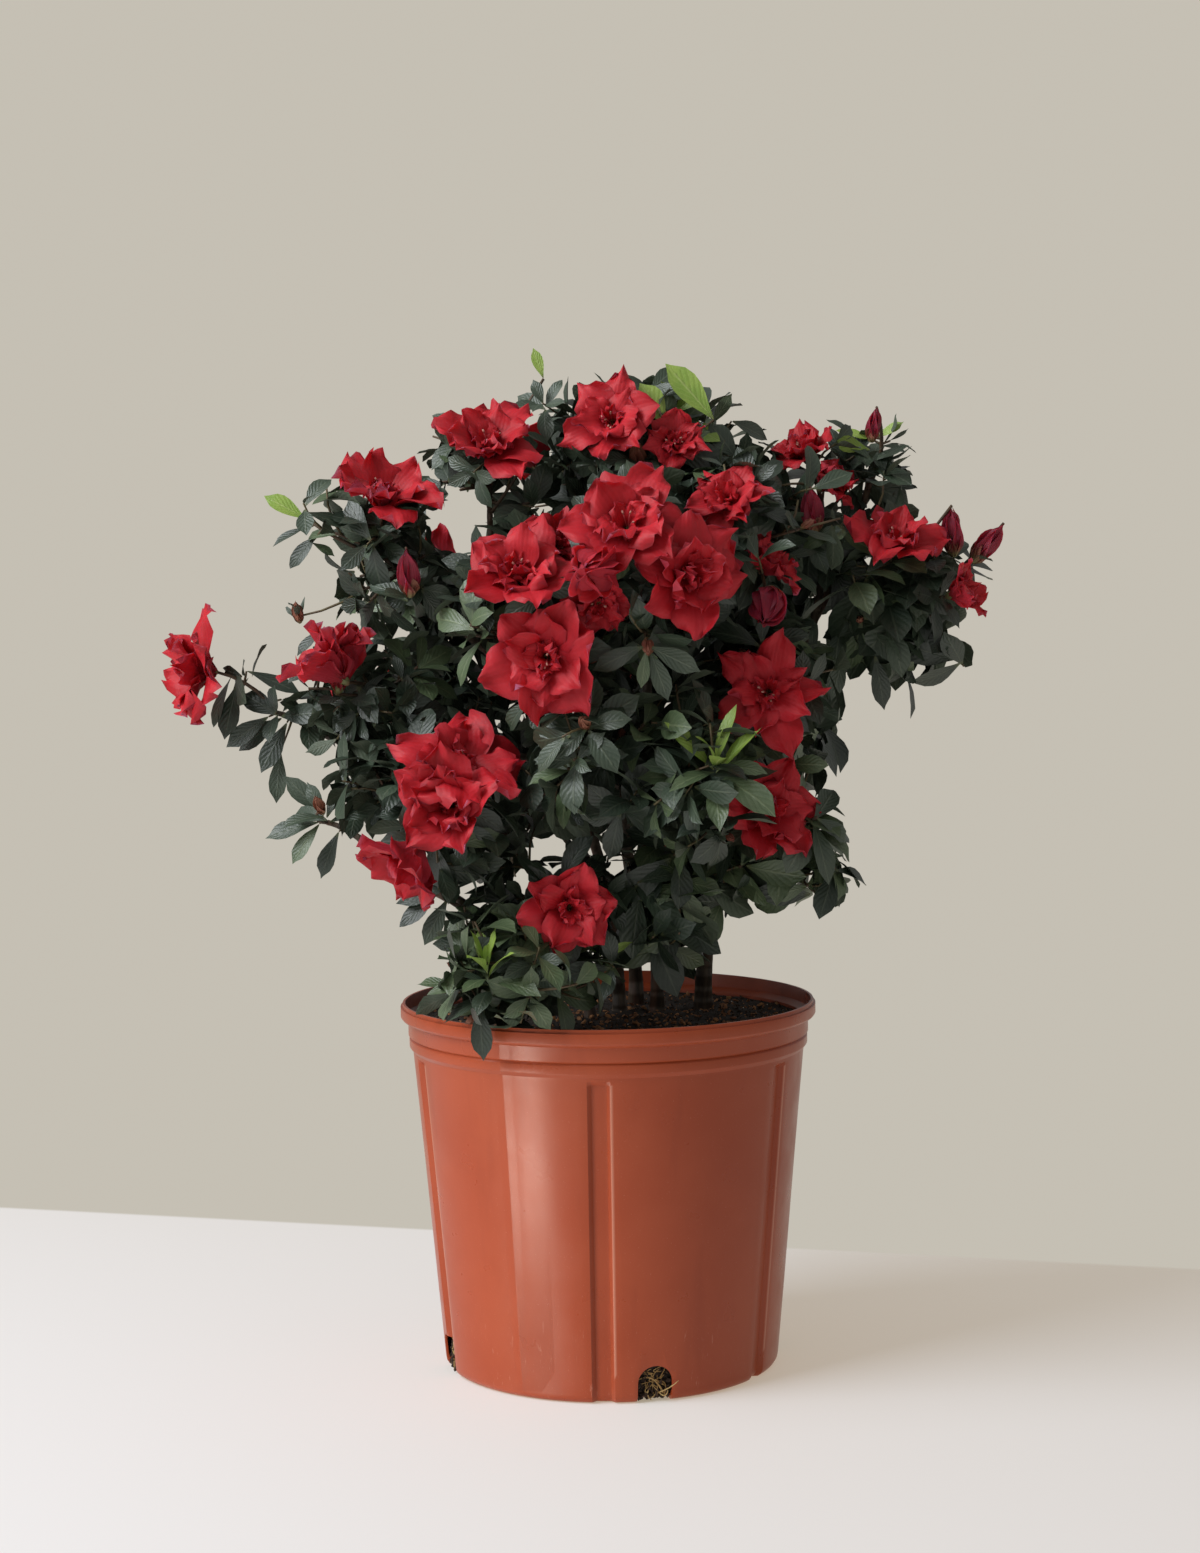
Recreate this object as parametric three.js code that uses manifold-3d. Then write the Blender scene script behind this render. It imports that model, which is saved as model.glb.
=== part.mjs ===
// A double-flowered azalea shrub in bloom, growing in a ribbed plastic nursery pot.
// Millimetres, +Z up. The origin is the centre of the pot's underside, and -Y is the front.
// Directions are degrees round the plant from its front, positive to the right (+X), and degrees above level.
import * as THREE from 'three';
import { mergeVertices } from 'three/addons/utils/BufferGeometryUtils.js';
import Module from 'manifold-3d';

const wasm = await Module();
wasm.setup();

// Driving dimensions of the pot
const potHeight = 247;
const potSegments = 32;
const wall = 1.6; // moulded plastic
const fit = 0.3; // clearance between pieces that touch
const rimRadius = 140; // a rim 280 across
const rimHeight = 12;
const beadHeight = 2.5; // thin raised edge on top of the rim
const beadSetback = 1.5;
const stepRise = 3; // height of each sloping step between the rim, the ring and the wall
const bandRadius = 135;
const bandHeight = 10.5;
const ringRadius = 134.4;
const ringHeight = 9.5;
const ringGroove = 1.2; // fine line between the band and the ring
const wallTopRadius = 130.4;
const baseRadius = 110.5;
const baseCorner = 6;
const ribAngles = [-71, -3, 58, 119, 180, 240];
const ribWidth = 15;
const ribDepth = 3.2;
const ribSlope = 0.8; // how far each flank of a rib leans in, as a share of its depth
const ribTopGap = 2;
const drainAngles = [14, 104, 194, 284];
const drainRadius = 11.5;
const drainCentre = 13;
const drainReach = 30; // length of the cutter through the wall
const soilLevel = 234;

// Driving dimensions of the wood: radii run from the root end to the tip
const stemSides = 7;
const stemSteps = 8;
const stemPull = [0.5, 0.3]; // how straight a stem starts and ends, as shares of its rise
const boughSides = 4;
const boughSteps = 3;
const rootFlare = 0.45; // share added to a stem's radius where it meets the soil
const flareFade = 25; // how fast the flare dies away up the stem
const boughRadius = [2.8, 2.3];
const boughSag = 0.1; // share of its length that a bough hangs below the straight line
const tipShare = 0.6; // how deep a limb's tip enters its mass: 1 is the mass's surface, 0 its centre
const twigSides = 3;
const heartSteps = 2;
const heartTipRadius = 2.1; // of the stem inside a mass
const heartBend = 0.5; // how far the stem inside a mass keeps its limb's direction, as a share of its length
const twigRadius = [0.95, 0.8];
const twigSpacing = 600; // square millimetres of a mass's middle for each leafy twig
const fewestTwigs = 5;
const leafyShare = [0.56, 0.7]; // how far out the leafy twigs reach
const rootShare = [0.4, 1]; // the stretch of a mass's own stem that its twigs spring from
const drawBack = [1, 0.8, 0.6]; // shares of its length that a twig is tried at
const bladeShares = [1, 0.8, 0.65, 0.5]; // shares of its length that a blade is tried at
const fewestBlades = 2;
const whorlTries = 6; // turns that a whorl is tried at, to cross few others
const bladeWorth = 10; // triangles of crossing that one more blade is worth
const [firstSeed, seedStep] = [101, 17]; // of the random numbers of the masses in turn

// Whorls at the twigs' tips. Each has a number of blades, their size, where they are widest, how far their
// edges curl up, how far they lean out from the twig in radians, and the hub's depth below and height above
// the twig's tip. The notch between two blades is given by its radius and height, and a bloom's notches stand
// up as its inner petals.
const leafWhorl = {
  count: 6, length: 49, width: 24, widest: 0.52, curl: 1.5,
  lean: 1.05, leanRange: 0.5, lengthRange: 0.25, below: 1.8, above: 1.6, notch: [3, 0.2],
};
const shootWhorl = {
  count: 5, length: 38, width: 11, widest: 0.5, curl: 1,
  lean: 0.6, leanRange: 0.3, lengthRange: 0.3, below: 1.8, above: 1.6, notch: [2.6, 0.2],
};
const bloomWhorl = {
  count: 5, length: 41, width: 38, widest: 0.62, curl: 2,
  lean: 1.15, leanRange: 0.3, lengthRange: 0.12, below: 13, above: 4, notch: [16, 21],
};
const hubRadius = 2.4; // of a whorl where it has no blade
const bladeGap = 0.06; // least angle from a blade's edge to the notch beside it, in radians
const bloomSetback = 16; // from a mass's surface in to the throat of its bloom
const bloomLift = 0.2; // how much a bloom turns up from its own direction
const bloomRoom = 0.8; // cosine of the angle round a bloom that is kept free of leafy twigs
const shootShare = 0.75; // how far out a pale shoot reaches, unless its mass says
const standOut = { leaf: 8, bloom: 24 }; // how far leaves and blooms may stand out of their mass
const shrinkBelow = 56; // masses smaller than this have smaller leaves
const budLength = 34;
const budRadius = 6;
const budSides = 4;
const budSteps = 6;
const budSwell = 0.8; // under 1, a bud is thickest nearer its foot
const budMiddle = 0.6; // how far back from its tip a bud is thickest, as a share of its length

// Room that a mass leaves round what isn't its own
const twigClearance = 1;
const bladeClearance = 3;
const potClearance = 4;
const insideClearance = 12; // from the pot's band in to the first leaves below its rim
const floorClearance = 3;
const limbSamples = 12;
const limbMargin = 6;

const goldenAngle = Math.PI * (3 - Math.sqrt(5));
const up = new THREE.Vector3(0, 0, 1);

// Stems rise from the soil. Each ends in the mass named as its tip.
const stems = [
  { name: 'right_stem', foot: [66, 48], radius: [5.6, 2.6], tip: 'right_shoulder' },
  { name: 'middle_stem', foot: [34, 40], radius: [4.4, 2.4], tip: 'crown_top' },
  { name: 'left_stem', foot: [8, 34], radius: [4.2, 2.2], tip: 'upper_left' },
  { name: 'low_stem', foot: [-12, 10], radius: [3.6, 2.0], tip: 'lower_left' },
  { name: 'back_stem', foot: [20, 72], radius: [4.6, 2.4], tip: 'back_top' },
];

// Masses of foliage: the stem each grows from and how far up it the bough forks off, the centre, how far the
// mass reaches across and up, and the directions from its centre of its blooms, buds and pale shoots.
// A bloom's or shoot's third number is how far out it stands, as a share of the reach.
const masses = [
  { name: 'crown_top', at: [26, -5, 606], reach: [80, 60],
    blooms: [[-18, 28], [14, 12]], shoots: [[-78, 42, 1.05], [32, 48]] },
  { name: 'upper_left', at: [-74, -30, 594], reach: [56, 50],
    blooms: [[-10, 26]], shoots: [[108, 70, 1.28]] },
  { name: 'left_shoulder', stem: 'left_stem', fork: 0.7, at: [-146, -50, 548], reach: [55, 58],
    blooms: [[8, 42]], buds: [[28, -5]], shoots: [[-83, 35, 1.05]] },
  { name: 'left', stem: 'left_stem', fork: 0.5, at: [-150, -40, 460], reach: [54, 58],
    blooms: [[-16, 24]] },
  { name: 'left_arm', stem: 'left_stem', fork: 0.38, at: [-218, -25, 444], reach: [46, 52],
    blooms: [[-86, 38, 1.6]] },
  { name: 'left_low_tip', stem: 'low_stem', fork: 0.6, at: [-184, -40, 372], reach: [44, 40],
    buds: [[0, 18]] },
  { name: 'lower_left', at: [-112, -80, 386], reach: [66, 66], blooms: [[26, 34], [11, 2], [-20, -30]] },
  { name: 'pot_edge_left', stem: 'low_stem', fork: 0.13, at: [-60, -98, 282], reach: [66, 44],
    shoots: [[-20, 15]] },
  { name: 'heart_left', stem: 'left_stem', fork: 0.6, at: [-46, -100, 502], reach: [60, 66],
    blooms: [[-8, 31], [2, -20]] },
  { name: 'heart_middle', stem: 'middle_stem', fork: 0.72, at: [23, -98, 540], reach: [70, 66],
    blooms: [[-8, 23], [-22, -15], [26, -10]], buds: [[5, -50]] },
  { name: 'heart_right', stem: 'middle_stem', fork: 0.82, at: [92, -70, 554], reach: [60, 58],
    blooms: [[-14, 21], [16, -19]], buds: [[-15, -48]] },
  { name: 'centre_low', stem: 'middle_stem', fork: 0.42, at: [-5, -100, 418], reach: [62, 60],
    buds: [[-7, 22]] },
  { name: 'front_right', stem: 'right_stem', fork: 0.36, at: [68, -106, 402], reach: [58, 60],
    shoots: [[0, 20]] },
  { name: 'low_middle', stem: 'left_stem', fork: 0.12, at: [-38, -76, 328], reach: [58, 48],
    blooms: [[18, -4]] },
  { name: 'low_right', stem: 'middle_stem', fork: 0.16, at: [42, -46, 322], reach: [52, 50] },
  { name: 'right', stem: 'right_stem', fork: 0.6, at: [106, -62, 457], reach: [52, 54], blooms: [[-3, 2]] },
  { name: 'right_low', stem: 'right_stem', fork: 0.28, at: [114, -48, 356], reach: [54, 54],
    blooms: [[-3, 36]] },
  { name: 'right_shoulder', at: [146, -15, 576], reach: [58, 52],
    blooms: [[-27, 50], [4, 18]], buds: [[-19, 4]] },
  { name: 'right_high_tip', stem: 'right_stem', fork: 0.86, at: [186, 0, 606], reach: [36, 34],
    buds: [[-20, 48]], shoots: [[-60, 30]] },
  { name: 'right_arm', stem: 'right_stem', fork: 0.72, at: [194, -20, 508], reach: [62, 62],
    blooms: [[-10, 53], [56, 14, 1.1]], buds: [[62, 50], [84, 40]] },
  { name: 'back_top', at: [-10, 78, 588], reach: [68, 56], blooms: [[170, 30], [-125, 35]] },
  { name: 'back_upper_left', stem: 'back_stem', fork: 0.82, at: [-100, 62, 536], reach: [64, 58],
    blooms: [[-110, 35], [-160, 0]] },
  { name: 'back_upper_right', stem: 'back_stem', fork: 0.74, at: [98, 76, 542], reach: [64, 58],
    blooms: [[150, 30], [110, -10]] },
  { name: 'back_middle', stem: 'back_stem', fork: 0.62, at: [0, 122, 484], reach: [66, 60],
    blooms: [[-165, 20], [150, -25]] },
  { name: 'back_left', stem: 'back_stem', fork: 0.44, at: [-120, 70, 432], reach: [66, 60],
    blooms: [[-115, 15], [-160, -20]] },
  { name: 'back_right', stem: 'back_stem', fork: 0.5, at: [124, 68, 436], reach: [64, 60],
    blooms: [[110, 25], [155, -10]] },
  { name: 'back_low_left', stem: 'back_stem', fork: 0.22, at: [-62, 112, 376], reach: [62, 54],
    blooms: [[-155, -5]] },
  { name: 'back_low_right', stem: 'back_stem', fork: 0.3, at: [62, 122, 372], reach: [64, 54],
    blooms: [[160, 5]] },
];

// Repeatable random numbers from 0 to 1, the same for the same seed
function seeded(seed) {
  let state = Math.imul(seed, 2654435761) >>> 0;
  return () => {
    state = (Math.imul(state, 1664525) + 1013904223) >>> 0;
    return state / 4294967296;
  };
}

const between = ([low, high], share) => low + (high - low) * share;

function heading([round, above]) {
  const [a, e] = [THREE.MathUtils.degToRad(round), THREE.MathUtils.degToRad(above)];
  return new THREE.Vector3(Math.sin(a) * Math.cos(e), -Math.cos(a) * Math.cos(e), Math.sin(e));
}

function toSolid(geometry) {
  const bare = geometry.clone();
  bare.deleteAttribute('normal');
  bare.deleteAttribute('uv');
  const merged = mergeVertices(bare, 1e-4);
  return new wasm.Manifold(new wasm.Mesh({
    numProp: 3,
    vertProperties: merged.attributes.position.array,
    triVerts: new Uint32Array(merged.index.array),
  }));
}

function toGeometry(solid) {
  const mesh = solid.getMesh();
  const geometry = new THREE.BufferGeometry();
  geometry.setAttribute('position', new THREE.BufferAttribute(new Float32Array(mesh.vertProperties), 3));
  geometry.setIndex(new THREE.BufferAttribute(new Uint32Array(mesh.triVerts), 1));
  return geometry;
}

function fromFaces(spots, faces) {
  const geometry = new THREE.BufferGeometry().setFromPoints(spots);
  geometry.setIndex(faces);
  return geometry;
}

// The largest single body of a solid: loose scraps and sealed hollows are left out
function wholeBody(solid) {
  return solid.decompose().reduce((best, body) => (body.volume() > best.volume() ? body : best));
}

// A solid turned about +Z from its outline of radius and height
function turned(outline, segments) {
  const profile = outline.map(([radius, height]) => new THREE.Vector2(radius, height));
  return toSolid(new THREE.LatheGeometry(profile, segments).rotateX(Math.PI / 2));
}

// Heights of the steps in the pot's wall
const rimBottom = potHeight - rimHeight;
const bandBottom = rimBottom - bandHeight;
const ringBottom = bandBottom - ringHeight;

// The pot's inside, drawn in from the outer surface by an inset, up to a given height
function potInside(inset, top, segments) {
  const outline = [
    [0, inset],
    [baseRadius - baseCorner - inset, inset],
    [baseRadius - inset, baseCorner + inset],
    [wallTopRadius - inset, ringBottom],
    [ringRadius - ringGroove - inset, ringBottom + stepRise],
    [ringRadius - ringGroove - inset, Math.min(rimBottom, top)],
  ];
  if (top > rimBottom) {
    const radius = rimRadius - beadSetback - inset;
    outline.push([radius, rimBottom + stepRise], [radius, top]);
  }
  outline.push([0, top]);
  return turned(outline, segments).subtract(ribs(inset));
}

// Upright channels in the pot's wall, wider and deeper by the inset, so that the wall keeps its thickness
function ribs(inset) {
  const half = ribWidth / 2 + inset;
  const floorHalf = half - ribDepth * ribSlope;
  const section = new THREE.Shape([
    new THREE.Vector2(-ribDepth - inset, -floorHalf),
    new THREE.Vector2(ribDepth, -half),
    new THREE.Vector2(ribDepth, half),
    new THREE.Vector2(-ribDepth - inset, floorHalf),
  ]);
  const length = ringBottom - ribTopGap;
  const lean = (wallTopRadius - baseRadius) / ringBottom;
  const leaning = new THREE.Matrix4().set(1, 0, lean, 0, 0, 1, 0, 0, 0, 0, 1, 0, 0, 0, 0, 1);
  return wasm.Manifold.union(ribAngles.map((angle) => {
    const channel = new THREE.ExtrudeGeometry(section, { depth: length + baseCorner, bevelEnabled: false });
    channel.translate(baseRadius, 0, -baseCorner).applyMatrix4(leaning);
    return toSolid(channel.rotateZ(THREE.MathUtils.degToRad(angle - 90)));
  }));
}

// Arched holes through the wall and the edge of the floor
function drainHoles() {
  const arch = new THREE.Shape();
  arch.moveTo(-drainRadius, -2 * drainCentre);
  arch.lineTo(drainRadius, -2 * drainCentre);
  arch.absarc(0, 0, drainRadius, 0, Math.PI, false);
  const cut = { depth: drainReach, curveSegments: 4, bevelEnabled: false };
  return wasm.Manifold.union(drainAngles.map((angle) => {
    const hole = new THREE.ExtrudeGeometry(arch, cut);
    hole.rotateX(Math.PI / 2).translate(0, drainReach / 2 - baseRadius, drainCentre);
    return toSolid(hole.rotateZ(THREE.MathUtils.degToRad(angle)));
  }));
}

function makePot() {
  const outside = [
    [0, 0],
    [baseRadius - baseCorner, 0],
    [baseRadius, baseCorner],
    [wallTopRadius, ringBottom],
    [ringRadius, ringBottom + stepRise],
    [ringRadius, bandBottom - ringGroove],
    [ringRadius - ringGroove, bandBottom],
    [bandRadius, bandBottom + ringGroove],
    [bandRadius, rimBottom],
    [rimRadius, rimBottom + stepRise],
    [rimRadius, potHeight - beadHeight],
    [rimRadius - beadSetback, potHeight - beadHeight],
    [rimRadius - beadSetback, potHeight],
    [0, potHeight],
  ];
  const block = turned(outside, potSegments).subtract(ribs(0));
  const inside = potInside(wall, potHeight + rimHeight, potSegments);
  return wholeBody(block.subtract(inside).subtract(drainHoles()));
}

// A limb along a curve, closed by a flat cut at each end
function limbGeometry(curve, radiusAt, sides, steps) {
  const frames = curve.computeFrenetFrames(steps, false);
  const spots = [];
  const faces = [];
  for (let i = 0; i <= steps; i++) {
    for (let k = 0; k < sides; k++) {
      const turn = (2 * Math.PI * k) / sides;
      const out = frames.normals[i].clone().multiplyScalar(Math.cos(turn));
      out.addScaledVector(frames.binormals[i], Math.sin(turn));
      spots.push(curve.getPointAt(i / steps).addScaledVector(out, radiusAt(i / steps)));
    }
  }
  for (let i = 0; i < steps; i++) {
    for (let k = 0; k < sides; k++) {
      const [a, b] = [i * sides + k, i * sides + ((k + 1) % sides)];
      faces.push(a, b, b + sides, a, b + sides, a + sides);
    }
  }
  const last = steps * sides;
  for (let k = 1; k < sides - 1; k++) faces.push(0, k + 1, k, last, last + k, last + k + 1);
  return fromFaces(spots, faces);
}

const taper = (radius) => (t) => between(radius, t);
const flared = (radius) => (t) => between(radius, t) * (1 + rootFlare * Math.exp(-t * flareFade));

// A point of a mass's outer surface in one direction, or a share of the way out to it
function spotOf(mass, direction, share) {
  const [across, high] = mass.reach;
  return new THREE.Vector3(direction.x * across, direction.y * across, direction.z * high)
    .multiplyScalar(share).add(mass.centre);
}

// Stems: upright at the soil and again where they enter the mass at their tip
function layOutStems() {
  for (const stem of stems) {
    const mass = masses.find((m) => m.name === stem.tip);
    const foot = new THREE.Vector3(...stem.foot, soilLevel + fit);
    const tip = spotOf(mass, new THREE.Vector3(0, 0, -1), tipShare);
    const rise = tip.z - foot.z;
    const knee = foot.clone().addScaledVector(up, rise * stemPull[0]);
    const neck = tip.clone().addScaledVector(up, -rise * stemPull[1]);
    stem.curve = new THREE.CubicBezierCurve3(foot, knee, neck, tip);
    mass.limb = stem;
  }
}

// Boughs: each forks off its stem, rises and bends out to the mass that it carries
function layOutBoughs() {
  return masses.filter((mass) => mass.stem).map((mass) => {
    const stem = stems.find((s) => s.name === mass.stem);
    const fork = stem.curve.getPointAt(mass.fork);
    const tip = spotOf(mass, fork.clone().sub(mass.centre).normalize(), tipShare);
    const bend = fork.clone().lerp(tip, 0.5).addScaledVector(up, -boughSag * fork.distanceTo(tip));
    mass.limb = {
      name: 'bough_' + mass.name,
      radius: boughRadius,
      curve: new THREE.QuadraticBezierCurve3(fork, bend, tip),
      stem,
    };
    return mass.limb;
  });
}

// The stem inside a mass: it grows on from its limb's tip, a hair clear of it, and bends to the centre
function heartCurve(mass) {
  const tangent = mass.limb.curve.getTangentAt(1);
  const foot = mass.limb.curve.getPointAt(1).addScaledVector(tangent, fit);
  const knee = foot.clone().addScaledVector(tangent, foot.distanceTo(mass.centre) * heartBend);
  return new THREE.QuadraticBezierCurve3(foot, knee, mass.centre);
}

// Every twig of a mass: what grows at its tip, its root on the mass's own stem, its tip and the way it faces
function layOutTwigs(mass, seed) {
  const random = seeded(seed);
  const blooms = (mass.blooms ?? []).map(heading);
  const twigs = blooms.map((direction, i) => {
    const facing = direction.clone().addScaledVector(up, bloomLift).normalize();
    const tip = spotOf(mass, direction, mass.blooms[i][2] ?? 1).addScaledVector(facing, -bloomSetback);
    return { kind: bloomWhorl, tip, facing };
  });
  for (const direction of (mass.buds ?? []).map(heading)) {
    twigs.push({ kind: 'bud', tip: spotOf(mass, direction, 1), facing: direction });
  }
  for (const [round, above, share = shootShare] of mass.shoots ?? []) {
    const direction = heading([round, above]);
    twigs.push({ kind: shootWhorl, tip: spotOf(mass, direction, share), facing: direction });
  }
  const count = Math.max(fewestTwigs, Math.round(mass.reach[0] ** 2 / twigSpacing));
  const turn = random() * Math.PI * 2;
  for (let k = 0; k < count; k++) {
    const level = 1 - (2 * (k + 0.5)) / count;
    const flat = Math.sqrt(1 - level * level);
    const angle = turn + k * goldenAngle;
    const direction = new THREE.Vector3(flat * Math.cos(angle), flat * Math.sin(angle), level);
    const tip = spotOf(mass, direction, between(leafyShare, random()));
    const free = blooms.every((bloom) => bloom.dot(direction) < bloomRoom);
    if (free) twigs.push({ kind: leafWhorl, tip, facing: direction });
  }
  const heart = heartCurve(mass);
  twigs.forEach((twig, i) => {
    twig.root = heart.getPointAt(between(rootShare, 1 - i / twigs.length));
  });
  return twigs;
}

// A point of a whorl, by its turn round the twig, its distance out and its height along the twig's facing
function whorlSpot({ tip, facing }, turn, radius, height) {
  const upright = Math.abs(facing.z) > 0.9;
  const across = facing.clone().cross(upright ? new THREE.Vector3(1, 0, 0) : up).normalize();
  const third = across.clone().cross(facing);
  return tip.clone().addScaledVector(facing, height)
    .addScaledVector(across, radius * Math.sin(turn)).addScaledVector(third, radius * Math.cos(turn));
}

// A blade's two shoulders and its tip, in order round the whorl
function bladeRim({ count, width, widest, curl }, { turn, lean, length }) {
  const [out, height] = [length * Math.sin(lean), length * Math.cos(lean)];
  const [midOut, midHeight] = [widest * out, widest * height + curl];
  const spread = Math.min(Math.atan(width / 2 / midOut), Math.PI / count - bladeGap);
  const shoulder = (side) => [turn + side * spread, midOut / Math.cos(spread), midHeight];
  return [shoulder(-1), [turn, out, height], shoulder(1)];
}

const notchBefore = ({ count, notch }, { turn, notchShare }) =>
  [turn - Math.PI / count, notch[0] * notchShare, notch[1] * notchShare];

// A whorl's blades, evenly round the twig from a turn drawn at random
function layOutBlades({ count, length, lengthRange, lean, leanRange }, scale, random) {
  const phase = random() * Math.PI * 2;
  return Array.from({ length: count }, (_, i) => ({
    turn: phase + (i * 2 * Math.PI) / count,
    lean: lean + (random() - 0.5) * leanRange,
    length: scale * length * (1 - lengthRange * random()),
    notchShare: 1,
  }));
}

// A twig with its whorl, as one closed body. The whorl's rim runs through a notch and a blade in turn.
function makeSprig(twig, blades) {
  const { kind, root, facing } = twig;
  const rim = blades.flatMap((blade, i) => {
    const before = i > 0 ? blades[i - 1].turn : blades.at(-1).turn - 2 * Math.PI;
    const missing = blade.turn - before > (3 * Math.PI) / kind.count;
    const stub = missing ? [[(before + blade.turn) / 2, hubRadius, 0]] : [];
    return [...stub, notchBefore(kind, blade), ...bladeRim(kind, blade)];
  });
  const start = rim[0][0];
  const sides = [0, 1, 2];
  const turns = sides.map((j) => start + (2 * Math.PI * j) / twigSides);
  const foot = turns.map((turn) => whorlSpot({ tip: root, facing }, turn, twigRadius[0], 0));
  const neck = turns.map((turn) => whorlSpot(twig, turn, twigRadius[1], -kind.below));
  const hub = whorlSpot(twig, 0, 0, kind.above);
  const spots = [...foot, ...neck, hub, ...rim.map((spot) => whorlSpot(twig, ...spot))];
  const [neckAt, apex, rimAt] = [twigSides, 2 * twigSides, 2 * twigSides + 1];
  const faces = [0, 2, 1];
  for (const j of sides) {
    const next = (j + 1) % twigSides;
    faces.push(j, next, neckAt + next, j, neckAt + next, neckAt + j);
  }
  let near = 0;
  for (let k = 0; k < rim.length; k++) {
    const next = (k + 1) % rim.length;
    const nextTurn = next ? rim[next][0] : start + 2 * Math.PI;
    faces.push(apex, rimAt + k, rimAt + next, neckAt + (near % twigSides), rimAt + next, rimAt + k);
    while (near < twigSides && nextTurn - start > ((near + 0.5) * 2 * Math.PI) / twigSides) {
      faces.push(neckAt + near, neckAt + ((near + 1) % twigSides), rimAt + next);
      near += 1;
    }
  }
  return toSolid(fromFaces(spots, faces));
}

// A bud: a limb that swells and closes again at the end of its twig
function makeBud({ root, tip }) {
  const curve = new THREE.LineCurve3(root, tip);
  const budStart = 1 - budLength / curve.getLength();
  const radiusAt = (t) => {
    const along = Math.max(0, (t - budStart) / (1 - budStart));
    return twigRadius[1] + (budRadius - twigRadius[1]) * Math.sin(Math.PI * along ** budSwell);
  };
  return toSolid(limbGeometry(curve, radiusAt, budSides, budSteps));
}

// Points round a bud where it is thickest, at the corners of the square round it
function budSpots(twig) {
  const [radius, height] = [budRadius * Math.SQRT2, -budMiddle * budLength];
  return [0, 1, 2, 3].map((k) => whorlSpot(twig, (k * Math.PI) / 2, radius, height));
}

// How far a point stands out of a mass's surface, below 0 inside it
function outOf(mass, spot) {
  const away = spot.clone().sub(mass.centre);
  const share = Math.hypot(away.x / mass.reach[0], away.y / mass.reach[0], away.z / mass.reach[1]);
  return away.length() * (1 - 1 / share);
}

// True where a point keeps to its mass's own space: it stands out of the mass's surface by less than a
// limit, and it is nearer to that mass than to any other, allowing for their sizes
function inOwnSpace(mass, spot, limit) {
  if (outOf(mass, spot) > limit) return false;
  const own = spot.distanceToSquared(mass.centre) - mass.reach[1] ** 2;
  return masses.every((other) => {
    if (other === mass) return true;
    const gap = 2 * mass.centre.distanceTo(other.centre);
    return own < spot.distanceToSquared(other.centre) - other.reach[1] ** 2 - gap;
  });
}

function clearOfPot(spot) {
  const out = Math.hypot(spot.x, spot.y);
  if (out > rimRadius + potClearance) return spot.z > floorClearance;
  if (spot.z > potHeight + potClearance) return true;
  return out < bandRadius - insideClearance && spot.z > soilLevel + floorClearance;
}

function clearOfLimbs(spot, limbs, clearance) {
  return limbs.every((limb) => {
    if (!limb.box.containsPoint(spot)) return true;
    return limb.line.every((segment) => {
      const near = segment.closestPointToPoint(spot, true, new THREE.Vector3());
      return near.distanceTo(spot) > limb.radius[0] + clearance;
    });
  });
}

// Points along a line, leaving out the start of it
const alongLine = (start, end) => [0.3, 0.44, 0.58, 0.72, 0.86, 1].map((t) => start.clone().lerp(end, t));

// The blades of a whorl that keep to the mass's space: one that doesn't fit is made shorter, or is left out
function fitBlades(twig, blades, allowed) {
  const { kind, tip } = twig;
  const fitBlade = (blade) => bladeShares
    .map((share) => ({ ...blade, length: blade.length * share }))
    .find((shorter) => {
      const rim = bladeRim(kind, shorter).map((spot) => whorlSpot(twig, ...spot));
      return allowed(rim.flatMap((spot) => alongLine(tip, spot)), bladeClearance);
    });
  const fitNotch = (blade) => {
    const notchShare = bladeShares.find((share) => {
      const notch = notchBefore(kind, { ...blade, notchShare: share });
      return allowed([whorlSpot(twig, ...notch)], bladeClearance);
    });
    return { ...blade, notchShare: notchShare ?? hubRadius / kind.notch[0] };
  };
  return blades.map(fitBlade).filter(Boolean).map(fitNotch);
}

// The best of several turns of a whorl, with the most blades and the least crossing of what has grown
function bestSprig(twig, leafScale, grown, allowed, random) {
  let best = { worth: -Infinity };
  for (let attempt = 0; attempt < whorlTries; attempt++) {
    const blades = fitBlades(twig, layOutBlades(twig.kind, leafScale, random), allowed);
    if (blades.length < fewestBlades) continue;
    const sprig = makeSprig(twig, blades);
    const worth = bladeWorth * blades.length - grown.intersect(sprig).numTri();
    if (worth > best.worth) best = { sprig, worth };
  }
  return best.sprig;
}

// Grows one mass: the stem inside it, and its twigs with their leaves, blooms and buds.
// A twig that would leave the mass's space or touch a limb is shortened, or left out if that won't do.
function growMass(mass, limbs, seed) {
  const random = seeded(seed + 1);
  const leafScale = Math.min(1, mass.reach[0] / shrinkBelow);
  const heartRadius = taper([mass.limb.radius[1], heartTipRadius]);
  let grown = toSolid(limbGeometry(heartCurve(mass), heartRadius, twigSides, heartSteps));
  for (const twig of layOutTwigs(mass, seed)) {
    const standing = standOut.bloom + Math.max(0, outOf(mass, twig.tip));
    const limit = twig.kind === leafWhorl ? standOut.leaf : standing;
    const allowed = (spots, clearance) => spots.every((spot) =>
      inOwnSpace(mass, spot, limit) && clearOfPot(spot) && clearOfLimbs(spot, limbs, clearance));
    const tips = drawBack.map((share) => twig.root.clone().lerp(twig.tip, share));
    twig.tip = tips.find((tip) => allowed(alongLine(twig.root, tip), twigClearance));
    if (!twig.tip) continue;
    if (twig.kind === 'bud') {
      if (allowed(budSpots(twig), twigClearance)) grown = grown.add(makeBud(twig));
      continue;
    }
    const sprig = bestSprig(twig, leafScale, grown, allowed, random);
    if (sprig) grown = grown.add(sprig);
  }
  return wholeBody(grown);
}

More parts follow.
